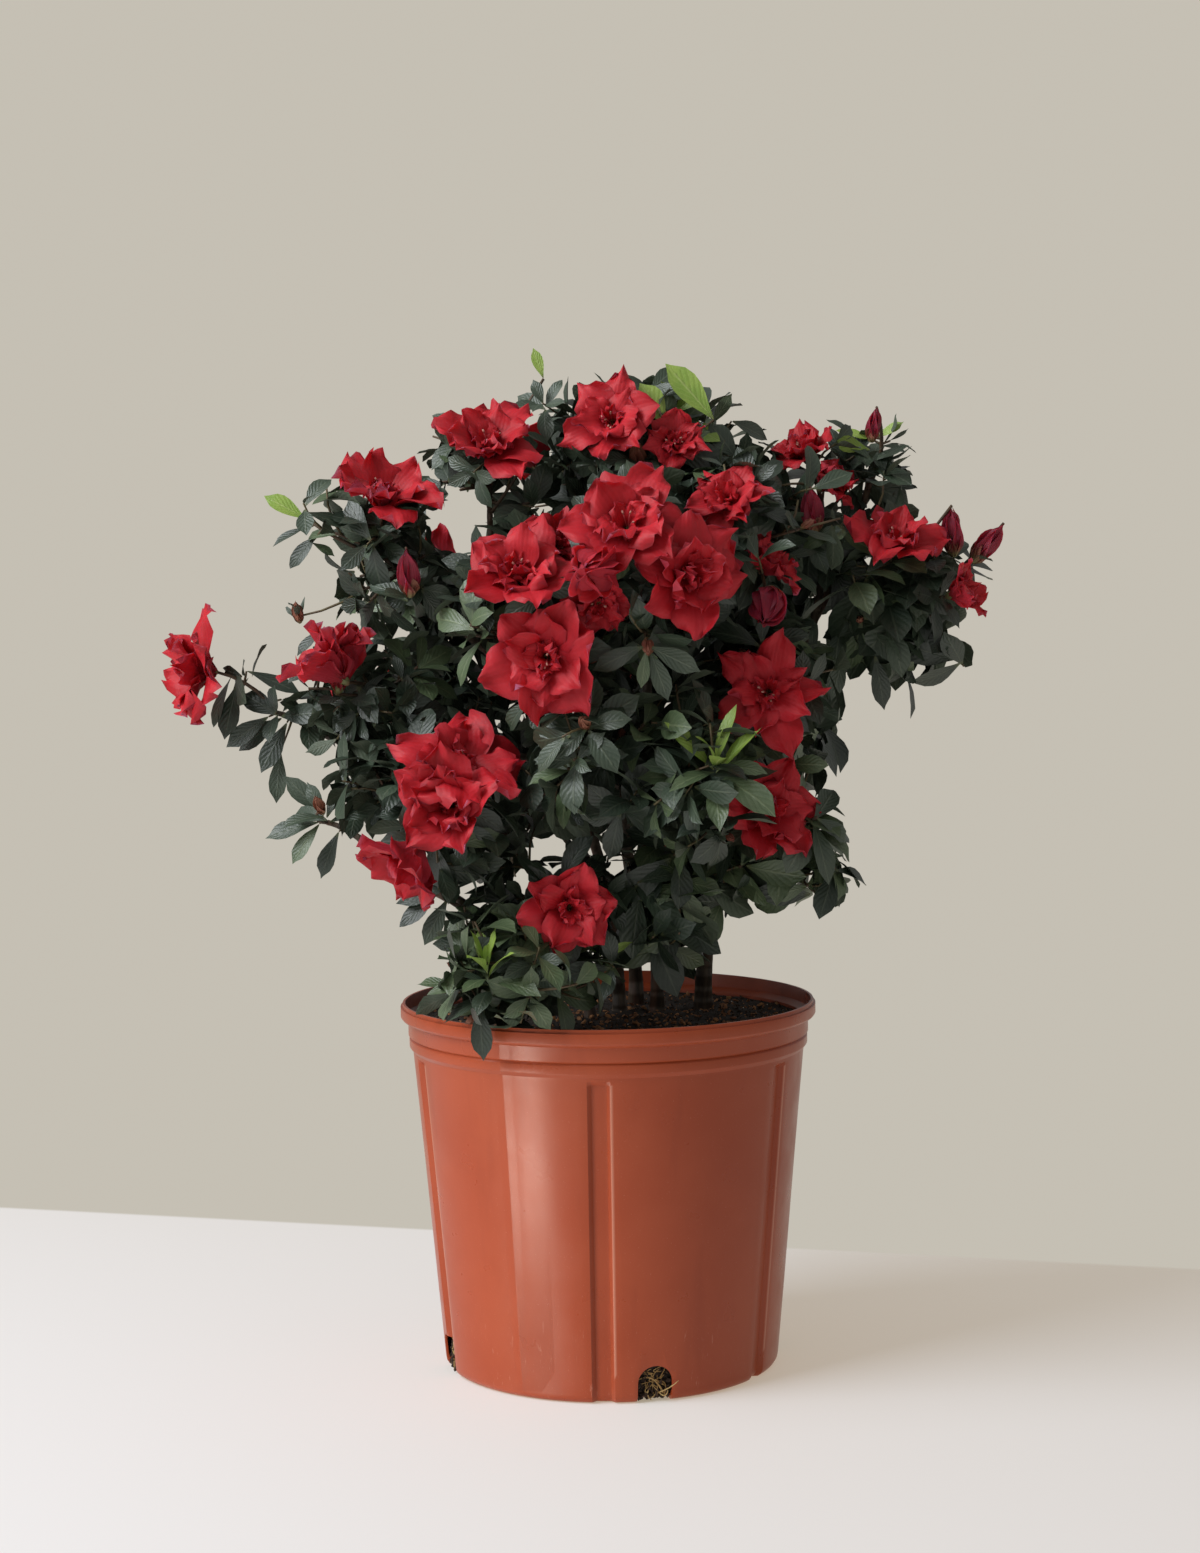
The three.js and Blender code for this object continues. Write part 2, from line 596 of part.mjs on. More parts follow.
// Materials, as colour, roughness and metalness
const finish = (color, roughness) => new THREE.MeshStandardMaterial({ color, roughness, metalness: 0 });
const terracotta = finish(0xb5573c, 0.42);
const pottingMix = finish(0x241a14, 0.95);
const bark = finish(0x3b2a1f, 0.85);
const foliage = finish(0x2e4a34, 0.5);

const azalea = new THREE.Group();
azalea.name = 'azalea_shrub';

function addPiece(name, solid, material) {
  const mesh = new THREE.Mesh(toGeometry(solid), material);
  mesh.name = name;
  azalea.add(mesh);
}

for (const mass of masses) mass.centre = new THREE.Vector3(...mass.at);
layOutStems();
const boughs = layOutBoughs();
const limbs = [...stems, ...boughs];
for (const limb of limbs) {
  const spots = limb.curve.getSpacedPoints(limbSamples);
  limb.box = new THREE.Box3().setFromPoints(spots).expandByScalar(limb.radius[0] + limbMargin);
  limb.line = spots.slice(1).map((spot, i) => new THREE.Line3(spots[i], spot));
}

addPiece('pot', makePot(), terracotta);
addPiece('potting_mix', wholeBody(potInside(wall + fit, soilLevel, potSegments / 2)), pottingMix);
for (const stem of stems) {
  addPiece(stem.name, toSolid(limbGeometry(stem.curve, flared(stem.radius), stemSides, stemSteps)), bark);
}
for (const bough of boughs) {
  const clearRadius = (t) => flared(bough.stem.radius)(t) + fit;
  const clearance = toSolid(limbGeometry(bough.stem.curve, clearRadius, stemSides, stemSteps));
  const limb = toSolid(limbGeometry(bough.curve, taper(bough.radius), boughSides, boughSteps));
  addPiece(bough.name, wholeBody(limb.subtract(clearance)), bark);
}
masses.forEach((mass, i) => {
  addPiece('foliage_' + mass.name, growMass(mass, limbs, firstSeed + seedStep * i), foliage);
});

export default azalea;
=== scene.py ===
# A double-flowered azalea in bloom, growing in its ribbed plastic nursery pot.
# The dictionaries hold millimetres and degrees. Meshes are in metres, +Z up, with the front towards -Y.
import math

import bmesh
import bpy
import numpy as np
from mathutils import Matrix, Vector, noise


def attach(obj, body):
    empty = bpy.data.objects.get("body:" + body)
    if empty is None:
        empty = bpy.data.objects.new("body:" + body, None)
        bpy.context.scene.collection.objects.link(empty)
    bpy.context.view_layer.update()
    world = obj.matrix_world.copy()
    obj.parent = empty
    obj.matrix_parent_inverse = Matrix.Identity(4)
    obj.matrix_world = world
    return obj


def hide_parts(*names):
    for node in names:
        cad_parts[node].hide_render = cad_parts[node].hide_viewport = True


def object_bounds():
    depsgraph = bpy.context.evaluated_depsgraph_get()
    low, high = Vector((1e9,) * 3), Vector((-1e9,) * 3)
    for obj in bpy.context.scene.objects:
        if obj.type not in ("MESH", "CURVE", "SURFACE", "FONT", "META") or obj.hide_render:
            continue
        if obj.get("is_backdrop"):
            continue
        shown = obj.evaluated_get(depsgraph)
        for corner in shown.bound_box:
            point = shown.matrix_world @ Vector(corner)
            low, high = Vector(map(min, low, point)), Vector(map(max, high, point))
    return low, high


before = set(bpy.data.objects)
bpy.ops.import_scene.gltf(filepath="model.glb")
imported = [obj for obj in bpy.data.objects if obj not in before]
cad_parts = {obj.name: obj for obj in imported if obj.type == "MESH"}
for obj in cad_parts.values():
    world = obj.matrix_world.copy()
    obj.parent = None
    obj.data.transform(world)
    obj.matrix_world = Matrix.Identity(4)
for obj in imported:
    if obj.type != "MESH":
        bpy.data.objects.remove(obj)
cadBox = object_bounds()
mm = 0.001
up = np.array([0.0, 0.0, 1.0])
goldenAngle = math.pi * (3 - math.sqrt(5))
fullTurn = 2 * math.pi
tubeSides = 4
anyPhase = (0, 6.28)


# Small tools for materials and meshes

def plug(tree, socket, value):
    if isinstance(value, bpy.types.NodeSocket):
        tree.links.new(value, socket)
    else:
        socket.default_value = value


def addNode(tree, kind, values=None, **settings):
    made = tree.nodes.new("ShaderNode" + kind)
    for name, value in settings.items():
        setattr(made, name, value)
    for name, value in (values or {}).items():
        plug(tree, made.inputs[name], value)
    return made


def startMaterial(name, **sockets):
    material = bpy.data.materials.new(name)
    material.use_nodes = True
    tree = material.node_tree
    shader = tree.nodes["Principled BSDF"]
    for socket, value in sockets.items():
        shader.inputs[socket.replace("_", " ")].default_value = value
    where = addNode(tree, "TexCoord").outputs["Object"]
    return material, tree, shader, where


def addNoise(tree, where, scale, detail=3, roughness=0.55):
    values = {"Vector": where, "Scale": scale, "Detail": detail, "Roughness": roughness}
    return addNode(tree, "TexNoise", values).outputs["Fac"]


def addRange(tree, value, fromLow, fromHigh, toLow=0.0, toHigh=1.0):
    values = {"Value": value, "From Min": fromLow, "From Max": fromHigh, "To Min": toLow, "To Max": toHigh}
    return addNode(tree, "MapRange", values, interpolation_type="SMOOTHSTEP").outputs[0]


def addMath(tree, operation, first, second=0.0):
    return addNode(tree, "Math", {0: first, 1: second}, operation=operation).outputs[0]


def addMix(tree, share, first, second):
    first, second = [colour if isinstance(colour, bpy.types.NodeSocket) else (*colour, 1)
                     for colour in (first, second)]
    return addNode(tree, "Mix", {0: share, 6: first, 7: second}, data_type="RGBA").outputs[2]


def addBump(tree, shader, height, strength, distance):
    made = addNode(tree, "Bump", {"Height": height, "Strength": strength, "Distance": distance})
    tree.links.new(made.outputs[0], shader.inputs["Normal"])


def paint(tree, shader, colour):
    tree.links.new(colour, shader.inputs["Base Color"])


def addObject(name, data):
    made = bpy.data.objects.new(name, data)
    bpy.context.scene.collection.objects.link(made)
    return made


def addPiece(name, mesh, materials, replaced=()):
    for material in materials:
        mesh.materials.append(material)
    piece = addObject(name, mesh)
    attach(piece, "root")
    if replaced:
        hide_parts(*replaced)
    return piece


def toMesh(bm, name, smooth=True):
    bm.transform(Matrix.Scale(mm, 4))
    mesh = bpy.data.meshes.new(name)
    bm.to_mesh(mesh)
    bm.free()
    if smooth:
        mesh.shade_smooth()
    return mesh


def fromArrays(name, spots, faces):
    mesh = bpy.data.meshes.new(name)
    mesh.from_pydata(spots * mm, [], faces)
    mesh.shade_smooth()
    return mesh


# Materials

def makePotPlastic(look):
    material, tree, shader, where = startMaterial("potPlastic", Specular_IOR_Level=look["specular"])
    cloudy = addRange(tree, addNoise(tree, where, 9, 4), 0.35, 0.7)
    colour = addMix(tree, cloudy, look["colour"], look["faded"])
    stretched = addNode(tree, "Mapping", {"Vector": where, "Scale": (60, 60, 7)}).outputs[0]
    streaks = addRange(tree, addNoise(tree, stretched, 1, 4), 0.56, 0.74, 0, 0.35)
    colour = addMix(tree, streaks, colour, look["dull"])
    height = addNode(tree, "SeparateXYZ", {"Vector": where}).outputs["Z"]
    low = addRange(tree, height, 0.005, 0.075, 1, 0)
    scratched = addNode(tree, "Mapping", {"Vector": where, "Scale": (420, 420, 60)}).outputs[0]
    scuffs = addRange(tree, addNoise(tree, scratched, 1, 5, 0.7), 0.62, 0.7, 0, 0.55)
    colour = addMix(tree, addMath(tree, "MULTIPLY", low, scuffs), colour, look["scuff"])
    dust = addRange(tree, addNoise(tree, where, 1100, 2), 0.68, 0.76, 0, 0.4)
    colour = addMix(tree, dust, colour, look["scuff"])
    highlightShare = addRange(tree, addNode(tree, "Attribute", attribute_name="wear").outputs["Fac"], 0.7, 1, 0, 0.75)
    colour = addMix(tree, highlightShare, colour, look["scuff"])  # a highlight painted along each channel's right-hand edge
    paint(tree, shader, colour)
    rough = addRange(tree, addNoise(tree, where, 38, 4), 0.3, 0.75, *look["roughRange"])
    tree.links.new(rough, shader.inputs["Roughness"])
    addBump(tree, shader, addNoise(tree, where, 620, 3), look["grain"], 0.0002)
    return material


def makeGrainy(name, colour, second, scale, roughness, bump):
    material, tree, shader, where = startMaterial(name, Roughness=roughness)
    patches = addRange(tree, addNoise(tree, where, scale, 4), 0.35, 0.68)
    paint(tree, shader, addMix(tree, patches, colour, second))
    addBump(tree, shader, addNoise(tree, where, scale * 3, 4), bump, 0.0006)
    return material


def makeBlade(name, look):
    # Colours that follow a blade: u runs across it and v from its foot to its tip
    material, tree, shader, where = startMaterial(
        name, Roughness=look["roughness"], **look.get("sockets", {}))
    place = addNode(tree, "SeparateXYZ", {"Vector": addNode(tree, "UVMap", uv_map="blade").outputs[0]})
    u, v = place.outputs["X"], place.outputs["Y"]
    aside = addMath(tree, "ABSOLUTE", addMath(tree, "SUBTRACT", u, 0.5))
    base = addMix(tree, addRange(tree, addNoise(tree, where, look["patch"], 3), 0.3, 0.7),
                  look["colour"], look["second"])
    # Towards its foot a blade turns to its foot colour: the real colour of a leaf's or bud's base, and on
    # petals a darker red that is partly their own and partly painted shade in the throat
    base = addMix(tree, addRange(tree, v, *look["footFade"], 1, 0), base, look["foot"])
    rise = addMath(tree, "SUBTRACT", addMath(tree, "MULTIPLY", v, look["veins"]),
                   addMath(tree, "MULTIPLY", aside, look["veinSlant"]))
    wave = addMath(tree, "SINE", addMath(tree, "MULTIPLY", rise, fullTurn))
    sideVein = addRange(tree, wave, 0.72, 1.0, 0, look["sideVein"])
    midrib = addRange(tree, aside, 0.012, 0.06, look["midrib"], 0)
    lines = addMath(tree, "MAXIMUM", midrib, sideVein)
    paint(tree, shader, addMix(tree, lines, base, look["veinColour"]))
    relief = addMath(tree, "ADD", addMath(tree, "MULTIPLY", wave, -0.25), midrib)
    relief = addMath(tree, "ADD", relief, addNoise(tree, where, look["patch"] * 9, 2))
    addBump(tree, shader, relief, look["bump"], 0.0005)
    return material


# The rule by which the shrub grows. Directions are degrees round the plant from its front, positive to the
# right, and degrees above level. It lays out stems, boughs and the twigs of each mass of foliage.

wood = {
    "soilLevel": 234, "fit": 0.3, "stemPull": (0.5, 0.3), "rootFlare": 0.45, "flareFade": 25,
    "boughRadius": (2.8, 2.3), "boughSag": 0.1, "tipShare": 0.6, "heartTipRadius": 1.6, "heartBend": 0.5,
    "twigSpacing": 600, "fewestTwigs": 5, "leafyShare": (0.56, 0.7), "rootShare": (0.4, 1),
    "drawBack": (1, 0.8, 0.6), "bloomSetback": 16, "bloomLift": 0.2, "bloomRoom": 0.8, "shootShare": 0.75,
    "leafStandOut": 8, "bloomStandOut": 24, "twigClearance": 1, "firstSeed": 101, "seedStep": 17,
}
stems = [
    dict(name="right_stem", foot=(66, 48), radius=(5.6, 2.6), tip="right_shoulder"),
    dict(name="middle_stem", foot=(34, 40), radius=(4.4, 2.4), tip="crown_top"),
    dict(name="left_stem", foot=(8, 34), radius=(4.2, 2.2), tip="upper_left"),
    dict(name="low_stem", foot=(-12, 10), radius=(3.6, 2.0), tip="lower_left"),
    dict(name="back_stem", foot=(20, 72), radius=(4.6, 2.4), tip="back_top"),
]
# A mass of foliage: the stem that its bough leaves and how far up (none at a stem's own tip), its centre, its
# reach to the sides and upwards, and the directions of its blooms, buds and shoots
massTable = [
    ("crown_top", None, (26, -5, 606), (80, 60), [(-18, 28), (14, 12)], [], [(-78, 42, 1.05), (32, 48)]),
    ("upper_left", None, (-74, -30, 594), (56, 50), [(-10, 26)], [], [(108, 70, 1.28)]),
    ("left_shoulder", ("left_stem", 0.7), (-146, -50, 548), (55, 58),
     [(8, 42)], [(28, -5)], [(-83, 35, 1.05)]),
    ("left", ("left_stem", 0.5), (-150, -40, 460), (54, 58), [(-16, 24)]),
    ("left_arm", ("left_stem", 0.38), (-218, -25, 444), (46, 52), [(-86, 38, 1.6)]),
    ("left_low_tip", ("low_stem", 0.6), (-184, -40, 372), (44, 40), [], [(0, 18)]),
    ("lower_left", None, (-112, -80, 386), (66, 66), [(26, 34), (11, 2), (-20, -30)]),
    ("pot_edge_left", ("low_stem", 0.13), (-60, -98, 282), (66, 44), [], [], [(-20, 15)]),
    ("heart_left", ("left_stem", 0.6), (-46, -100, 502), (60, 66), [(-8, 31), (2, -20)]),
    ("heart_middle", ("middle_stem", 0.72), (23, -98, 540), (70, 66),
     [(-8, 23), (-22, -15), (26, -10)], [(5, -50)]),
    ("heart_right", ("middle_stem", 0.82), (92, -70, 554), (60, 58), [(-14, 21), (16, -19)], [(-15, -48)]),
    ("centre_low", ("middle_stem", 0.42), (-5, -100, 418), (62, 60), [], [(-7, 22)]),
    ("front_right", ("right_stem", 0.36), (68, -106, 402), (58, 60), [], [], [(0, 20)]),
    ("low_middle", ("left_stem", 0.12), (-38, -76, 328), (58, 48), [(18, -4)]),
    ("low_right", ("middle_stem", 0.16), (42, -46, 322), (52, 50)),
    ("right", ("right_stem", 0.6), (106, -62, 457), (52, 54), [(-3, 2)]),
    ("right_low", ("right_stem", 0.28), (114, -48, 356), (54, 54), [(-3, 36)]),
    ("right_shoulder", None, (146, -15, 576), (58, 52), [(-27, 50), (4, 18)], [(-19, 4)]),
    ("right_high_tip", ("right_stem", 0.86), (186, 0, 606), (36, 34), [], [(-20, 48)], [(-60, 30)]),
    ("right_arm", ("right_stem", 0.72), (194, -20, 508), (62, 62),
     [(-10, 53), (56, 14, 1.1)], [(62, 50), (84, 40)]),
    ("back_top", None, (-10, 78, 588), (68, 56), [(170, 30), (-125, 35)]),
    ("back_upper_left", ("back_stem", 0.82), (-100, 62, 536), (64, 58), [(-110, 35), (-160, 0)]),
    ("back_upper_right", ("back_stem", 0.74), (98, 76, 542), (64, 58), [(150, 30), (110, -10)]),
    ("back_middle", ("back_stem", 0.62), (0, 122, 484), (66, 60), [(-165, 20), (150, -25)]),
    ("back_left", ("back_stem", 0.44), (-120, 70, 432), (66, 60), [(-115, 15), (-160, -20)]),
    ("back_right", ("back_stem", 0.5), (124, 68, 436), (64, 60), [(110, 25), (155, -10)]),
    ("back_low_left", ("back_stem", 0.22), (-62, 112, 376), (62, 54), [(-155, -5)]),
    ("back_low_right", ("back_stem", 0.3), (62, 122, 372), (64, 54), [(160, 5)]),
]
masses = []
for name, carrier, at, reach, *tips in massTable:
    masses.append(dict(name=name, carrier=carrier, centre=np.array(at, float), reach=reach,
                       size=np.array([reach[0], *reach], float)))
    masses[-1].update(zip(("blooms", "buds", "shoots"), tips))
pot = {
    "height": 247, "wall": 1.6, "rimRadius": 140, "rimHeight": 12, "beadHeight": 2.5, "beadSetback": 1.5,
    "stepRise": 3, "bandRadius": 135, "bandHeight": 10.5, "ringRadius": 134.4, "ringHeight": 9.5,
    "ringGroove": 1.2, "wallTopRadius": 132, "baseRadius": 113.2, "baseCorner": 6,
    "cornerTurns": (0, 22, 45, 68, 90), "underside": (0, 60, 90),
    "wallHeights": (20, 40, 65, 90, 115, 140, 165, 190),
    "ribAngles": (-71, -3, 58, 119, 180, 240), "ribWidth": 15, "ribDepth": 3.2, "ribSlope": 0.8,
    "ribTopGap": 2, "ribTopRun": 3, "seamAngles": (-31, 149), "seamWidth": 1.6, "seamHeight": 0.3,
    "drainAngles": (14, 104, 194, 284), "drainRadius": 11.5, "drainCentre": 13, "drainReach": 30,
    "columnsBetween": 18, "edgeRound": 0.45, "unevenness": 0.25,
    "clearance": 4, "insideClearance": 12, "floorClearance": 3,
}
pot["rimBottom"] = pot["height"] - pot["rimHeight"]
pot["bandBottom"] = pot["rimBottom"] - pot["bandHeight"]
pot["ringBottom"] = pot["bandBottom"] - pot["ringHeight"]
# Where the sky shows through the crown from the front: places on the upright plane through the pot's axis
skyGaps = {
    "plane": 0,
    "gaps": [(-99, 571, 17), (-86, 582, 11), (-108, 560, 10), (-38, 577, 7), (-52, 606, 9), (-141, 488, 4),
             (-28, 348, 7), (-55, 325, 8), (-40, 349, 8), (-11, 350, 6), (6, 334, 7), (143, 605, 8),
             (147, 581, 8), (182, 554, 8), (184, 534, 8), (145, 501, 7), (148, 461, 7), (-177, 548, 9),
             (-163, 541, 6), (138, 268, 24), (172, 437, 16), (166, 408, 13), (82, 282, 9), (-121, 278, 9),
             (-130, 298, 8), (-151, 617, 9), (-175, 605, 9), (-128, 620, 8), (-59, 630, 9), (-109, 559, 9),
             (-92, 556, 10), (84, 298, 8), (160, 426, 8), (-88, 650, 10), (-101, 643, 9),
             (-75, 650, 9), (15, 667, 10), (33, 669, 8), (250, 497, 10), (252, 514, 9), (237, 456, 10),
             (255, 476, 10), (124, 297, 9), (94, 293, 8), (-113, 268, 8), (150, 470, 6)],
}
camera = {
    "place": (-3.6, -1900, 525), "pitch": -3.84, "roll": -0.68, "focalPixels": 2827, "imageHeight": 1553,
    "sensor": 36,
}


def seeded(seed):
    state = seed * 2654435761 % 2**32

    def draw():
        nonlocal state
        state = (state * 1664525 + 1013904223) % 2**32
        return state / 2**32
    return draw


def between(ends, share):
    return ends[0] + (ends[1] - ends[0]) * share


def unit(vectors):
    return vectors / np.linalg.norm(vectors, axis=-1, keepdims=True)


def spread(k, count, turn):
    # One of a count of directions that spread evenly over a ball, from the top down
    level = 1 - 2 * (k + 0.5) / count
    flat, angle = math.sqrt(1 - level * level), turn + k * goldenAngle
    return np.array([flat * math.cos(angle), flat * math.sin(angle), level])


def heading(direction):
    around, above = math.radians(direction[0]), math.radians(direction[1])
    level = math.cos(above)
    return np.array([math.sin(around) * level, -math.cos(around) * level, math.sin(above)])


def bezier(controls, t):
    # A point for each t on the curve through its control points
    points = [np.asarray(point, float) for point in controls]
    t = np.asarray(t, float)[..., None]
    while len(points) > 1:
        points = [a + (b - a) * t for a, b in zip(points, points[1:])]
    return points[0]


def alongCurve(controls, share):
    # Points that lie a share of the way along a curve, by its length
    t = np.linspace(0, 1, 201)
    spots = bezier(controls, t)
    run = np.concatenate([[0], np.cumsum(np.linalg.norm(np.diff(spots, axis=0), axis=1))])
    return bezier(controls, np.interp(np.asarray(share) * run[-1], run, t))


def spotOf(mass, direction, share):
    return mass["centre"] + direction * mass["size"] * share


def layOutLimbs():
    limbs = []
    for stem in stems:
        mass = next(m for m in masses if m["name"] == stem["tip"])
        foot = np.array([*stem["foot"], wood["soilLevel"] + wood["fit"]])
        tip = spotOf(mass, -up, wood["tipShare"])
        rise = tip[2] - foot[2]
        knee, neck = foot + up * rise * wood["stemPull"][0], tip - up * rise * wood["stemPull"][1]
        mass["limb"] = dict(stem, curve=[foot, knee, neck, tip], flare=wood["rootFlare"])
        limbs.append(mass["limb"])
    for mass in masses:
        if mass["carrier"]:
            carrier, share = mass["carrier"]
            fork = alongCurve(next(limb["curve"] for limb in limbs if limb["name"] == carrier), share)
            tip = spotOf(mass, unit(fork - mass["centre"]), wood["tipShare"])
            bend = (fork + tip) / 2 - up * wood["boughSag"] * np.linalg.norm(tip - fork)
            mass["limb"] = dict(name="bough_" + mass["name"], radius=wood["boughRadius"],
                                curve=[fork, bend, tip], flare=0)
            limbs.append(mass["limb"])
    for limb in limbs:
        limb["line"] = alongCurve(limb["curve"], np.linspace(0, 1, 13))
    return limbs


def heartCurve(mass):
    # The stem inside a mass: it grows on from its limb's tip and bends to the centre
    curve = mass["limb"]["curve"]
    tangent = unit(curve[-1] - curve[-2])
    foot = curve[-1] + tangent * wood["fit"]
    knee = foot + tangent * np.linalg.norm(foot - mass["centre"]) * wood["heartBend"]
    return [foot, knee, mass["centre"]]


def outOf(mass, spots):
    # How far points stand out of a mass's surface, below 0 inside it
    away = spots - mass["centre"]
    share = np.linalg.norm(away / mass["size"], axis=-1)
    return np.linalg.norm(away, axis=-1) * (1 - 1 / np.maximum(share, 1e-6))


def inOwnSpace(mass, spots, limit):
    own = ((spots - mass["centre"]) ** 2).sum(-1) - mass["reach"][1] ** 2
    inside = outOf(mass, spots) <= limit
    for other in masses:
        if other is not mass:
            gap = 2 * np.linalg.norm(mass["centre"] - other["centre"])
            inside &= own < ((spots - other["centre"]) ** 2).sum(-1) - other["reach"][1] ** 2 - gap
    return inside


def clearOfPot(spots):
    out, height = np.hypot(spots[..., 0], spots[..., 1]), spots[..., 2]
    beyond = (out > pot["rimRadius"] + pot["clearance"]) & (height > pot["floorClearance"])
    above = height > pot["height"] + pot["clearance"]
    inside = (out < pot["bandRadius"] - pot["insideClearance"]) & (
        height > wood["soilLevel"] + pot["floorClearance"])
    return beyond | ((out <= pot["rimRadius"] + pot["clearance"]) & (above | inside))


def clearOfLimbs(spots, limbs, clearance):
    clear = np.ones(spots.shape[:-1], bool)
    for limb in limbs:
        start, end = limb["line"][:-1], limb["line"][1:]
        run = end - start
        away = spots[..., None, :] - start
        share = np.clip((away * run).sum(-1) / (run * run).sum(-1), 0, 1)
        distance = np.linalg.norm(away - run * share[..., None], axis=-1)
        clear &= (distance > limb["radius"][0] + clearance).all(-1)
    return clear


def inSkyGap(spots, jitter=1):
    # True for points that hide a patch of sky from the front
    eye = np.array(camera["place"])
    ray = spots - eye
    onPlane = eye + ray * ((skyGaps["plane"] - eye[1]) / ray[..., 1])[..., None]
    hit = np.zeros(spots.shape[:-1], bool)
    for x, z, radius in skyGaps["gaps"]:
        hit |= np.hypot(onPlane[..., 0] - x, onPlane[..., 2] - z) < radius * jitter
    return hit


def layOutTwigs(mass, seed):
    # Every twig of a mass: what grows at its tip, its root on the mass's own stem, and the way it faces
    random = seeded(seed)
    twigs, blooms = [], []
    for bloom in mass.get("blooms", []):
        direction = heading(bloom)
        blooms.append(direction)
        facing = unit(direction + up * wood["bloomLift"])
        tip = spotOf(mass, direction, bloom[2] if len(bloom) > 2 else 1) - facing * wood["bloomSetback"]
        twigs.append(dict(kind="bloom", tip=tip, facing=facing))
    for kind, whole in (("bud", 1), ("shoot", wood["shootShare"])):
        for end in mass.get(kind + "s", []):
            tip = spotOf(mass, heading(end), end[2] if len(end) > 2 else whole)
            twigs.append(dict(kind=kind, tip=tip, facing=heading(end)))
    count = max(wood["fewestTwigs"], math.floor(mass["reach"][0] ** 2 / wood["twigSpacing"] + 0.5))
    turn = random() * fullTurn
    for k in range(count):
        direction = spread(k, count, turn)
        tip = spotOf(mass, direction, between(wood["leafyShare"], random()))
        if all(bloom @ direction < wood["bloomRoom"] for bloom in blooms):
            twigs.append(dict(kind="leafy", tip=tip, facing=direction))
    heart = heartCurve(mass)
    for i, twig in enumerate(twigs):
        twig["root"] = alongCurve(heart, between(wood["rootShare"], 1 - i / len(twigs)))
    return twigs


def drawTwigBack(mass, twig, limbs):
    # A twig that would leave its mass's space or touch a limb is shortened, or left out
    limit = wood["leafStandOut"]
    if twig["kind"] != "leafy":
        limit = wood["bloomStandOut"] + max(0, outOf(mass, twig["tip"]))
    for share in wood["drawBack"]:
        tip = twig["root"] + (twig["tip"] - twig["root"]) * share
        steps = np.linspace(0.3, 1, 6)[:, None]
        spots = twig["root"] + (tip - twig["root"]) * steps
        free = inOwnSpace(mass, spots, limit) & clearOfPot(spots)
        if (free & clearOfLimbs(spots, limbs, wood["twigClearance"])).all():
            return tip
    return None


# Blades: leaves and petals are thin closed blades, bent one by one from a flat grid

def makeBladeGrid(columns, rows, outline):
    # The grid has a front and a back that share their rim. The outline gives its half width at even steps
    bm = bmesh.new()
    bmesh.ops.create_grid(bm, x_segments=columns, y_segments=rows, size=1)
    twin = bmesh.ops.duplicate(bm, geom=bm.verts[:] + bm.edges[:] + bm.faces[:])["geom"]
    backs = [part for part in twin if isinstance(part, bmesh.types.BMFace)]
    bmesh.ops.reverse_faces(bm, faces=backs)
    behind = {part for part in twin if isinstance(part, bmesh.types.BMVert)}
    for vert in bm.verts:
        rim = max(abs(vert.co.x), abs(vert.co.y)) > 0.999
        vert.co.z = 0 if rim else (-1 if vert in behind else 1)
    bmesh.ops.remove_doubles(bm, verts=bm.verts, dist=1e-4)
    bm.verts.index_update()
    spots = np.array([vert.co for vert in bm.verts])
    faces = np.array([[vert.index for vert in face.verts] for face in bm.faces])
    bm.free()
    u, v, side = spots[:, 0], (spots[:, 1] + 1) / 2, spots[:, 2]
    front = side[faces].sum(1) > 0
    reach = np.interp(v, np.linspace(0, 1, len(outline)), outline)
    return dict(u=u, v=v, side=side, reach=reach, rows=rows, row=np.rint(v * rows).astype(int),
                faces=faces, front=front)


def bendBlades(grid, blades, thickness):
    # A blade leans away from its axis by an angle that changes from its foot to its tip
    each = {key: np.asarray(value, float)[:, None] for key, value in blades.items()}
    v = np.linspace(0, 1, grid["rows"] + 1)
    share = v[None] ** each["power"]
    lean = each["start"] * (1 - share) + each["end"] * share
    cosine, sine = np.cos(lean)[..., None], np.sin(lean)[..., None]
    along = cosine * each["axis"] + sine * each["radial"]
    normal = sine * each["axis"] - cosine * each["radial"]
    side = np.cross(each["radial"], each["axis"]) + 0 * normal
    turn = (each["twist"] * v)[..., None]
    side, normal = np.cos(turn) * side + np.sin(turn) * normal, np.cos(turn) * normal - np.sin(turn) * side
    step = (along[:, 1:] + along[:, :-1]) / 2 * (each["length"] / grid["rows"])[..., None]
    middle = np.concatenate([0 * step[:, :1], np.cumsum(step, axis=1)], axis=1) + each["base"]
    row, u, v = grid["row"], grid["u"][None], grid["v"][None]
    half, edge = each["width"] / 2 * grid["reach"][None], np.abs(u)
    lift = edge * half * np.sin(each["fold"]) + each["cup"] * half * u * u * (1 - 1.7 * v)
    ripple = np.sin(fullTurn * each["waves"] * v + each["phase"] * np.sign(u))
    lift = lift + each["ruffle"] * ripple * edge ** 1.5 * np.sqrt(v)
    lift = lift + each["ruffle"] * (np.sin(math.pi * 1.6 * u + each["phase"]) * v ** 4)
    lift = lift + each["pleat"] * np.cos(3 * math.pi * u) * v * (1 - 0.6 * v)
    lift = lift + grid["side"][None] * thickness / 2
    push = (each["point"] * (1 - edge) ** 1.5 - each["round"] * u * u) * v ** 5
    spots = middle[:, row] + (u * half * np.cos(each["fold"]))[..., None] * side[:, row]
    return spots + lift[..., None] * normal[:, row] + push[..., None] * along[:, row]


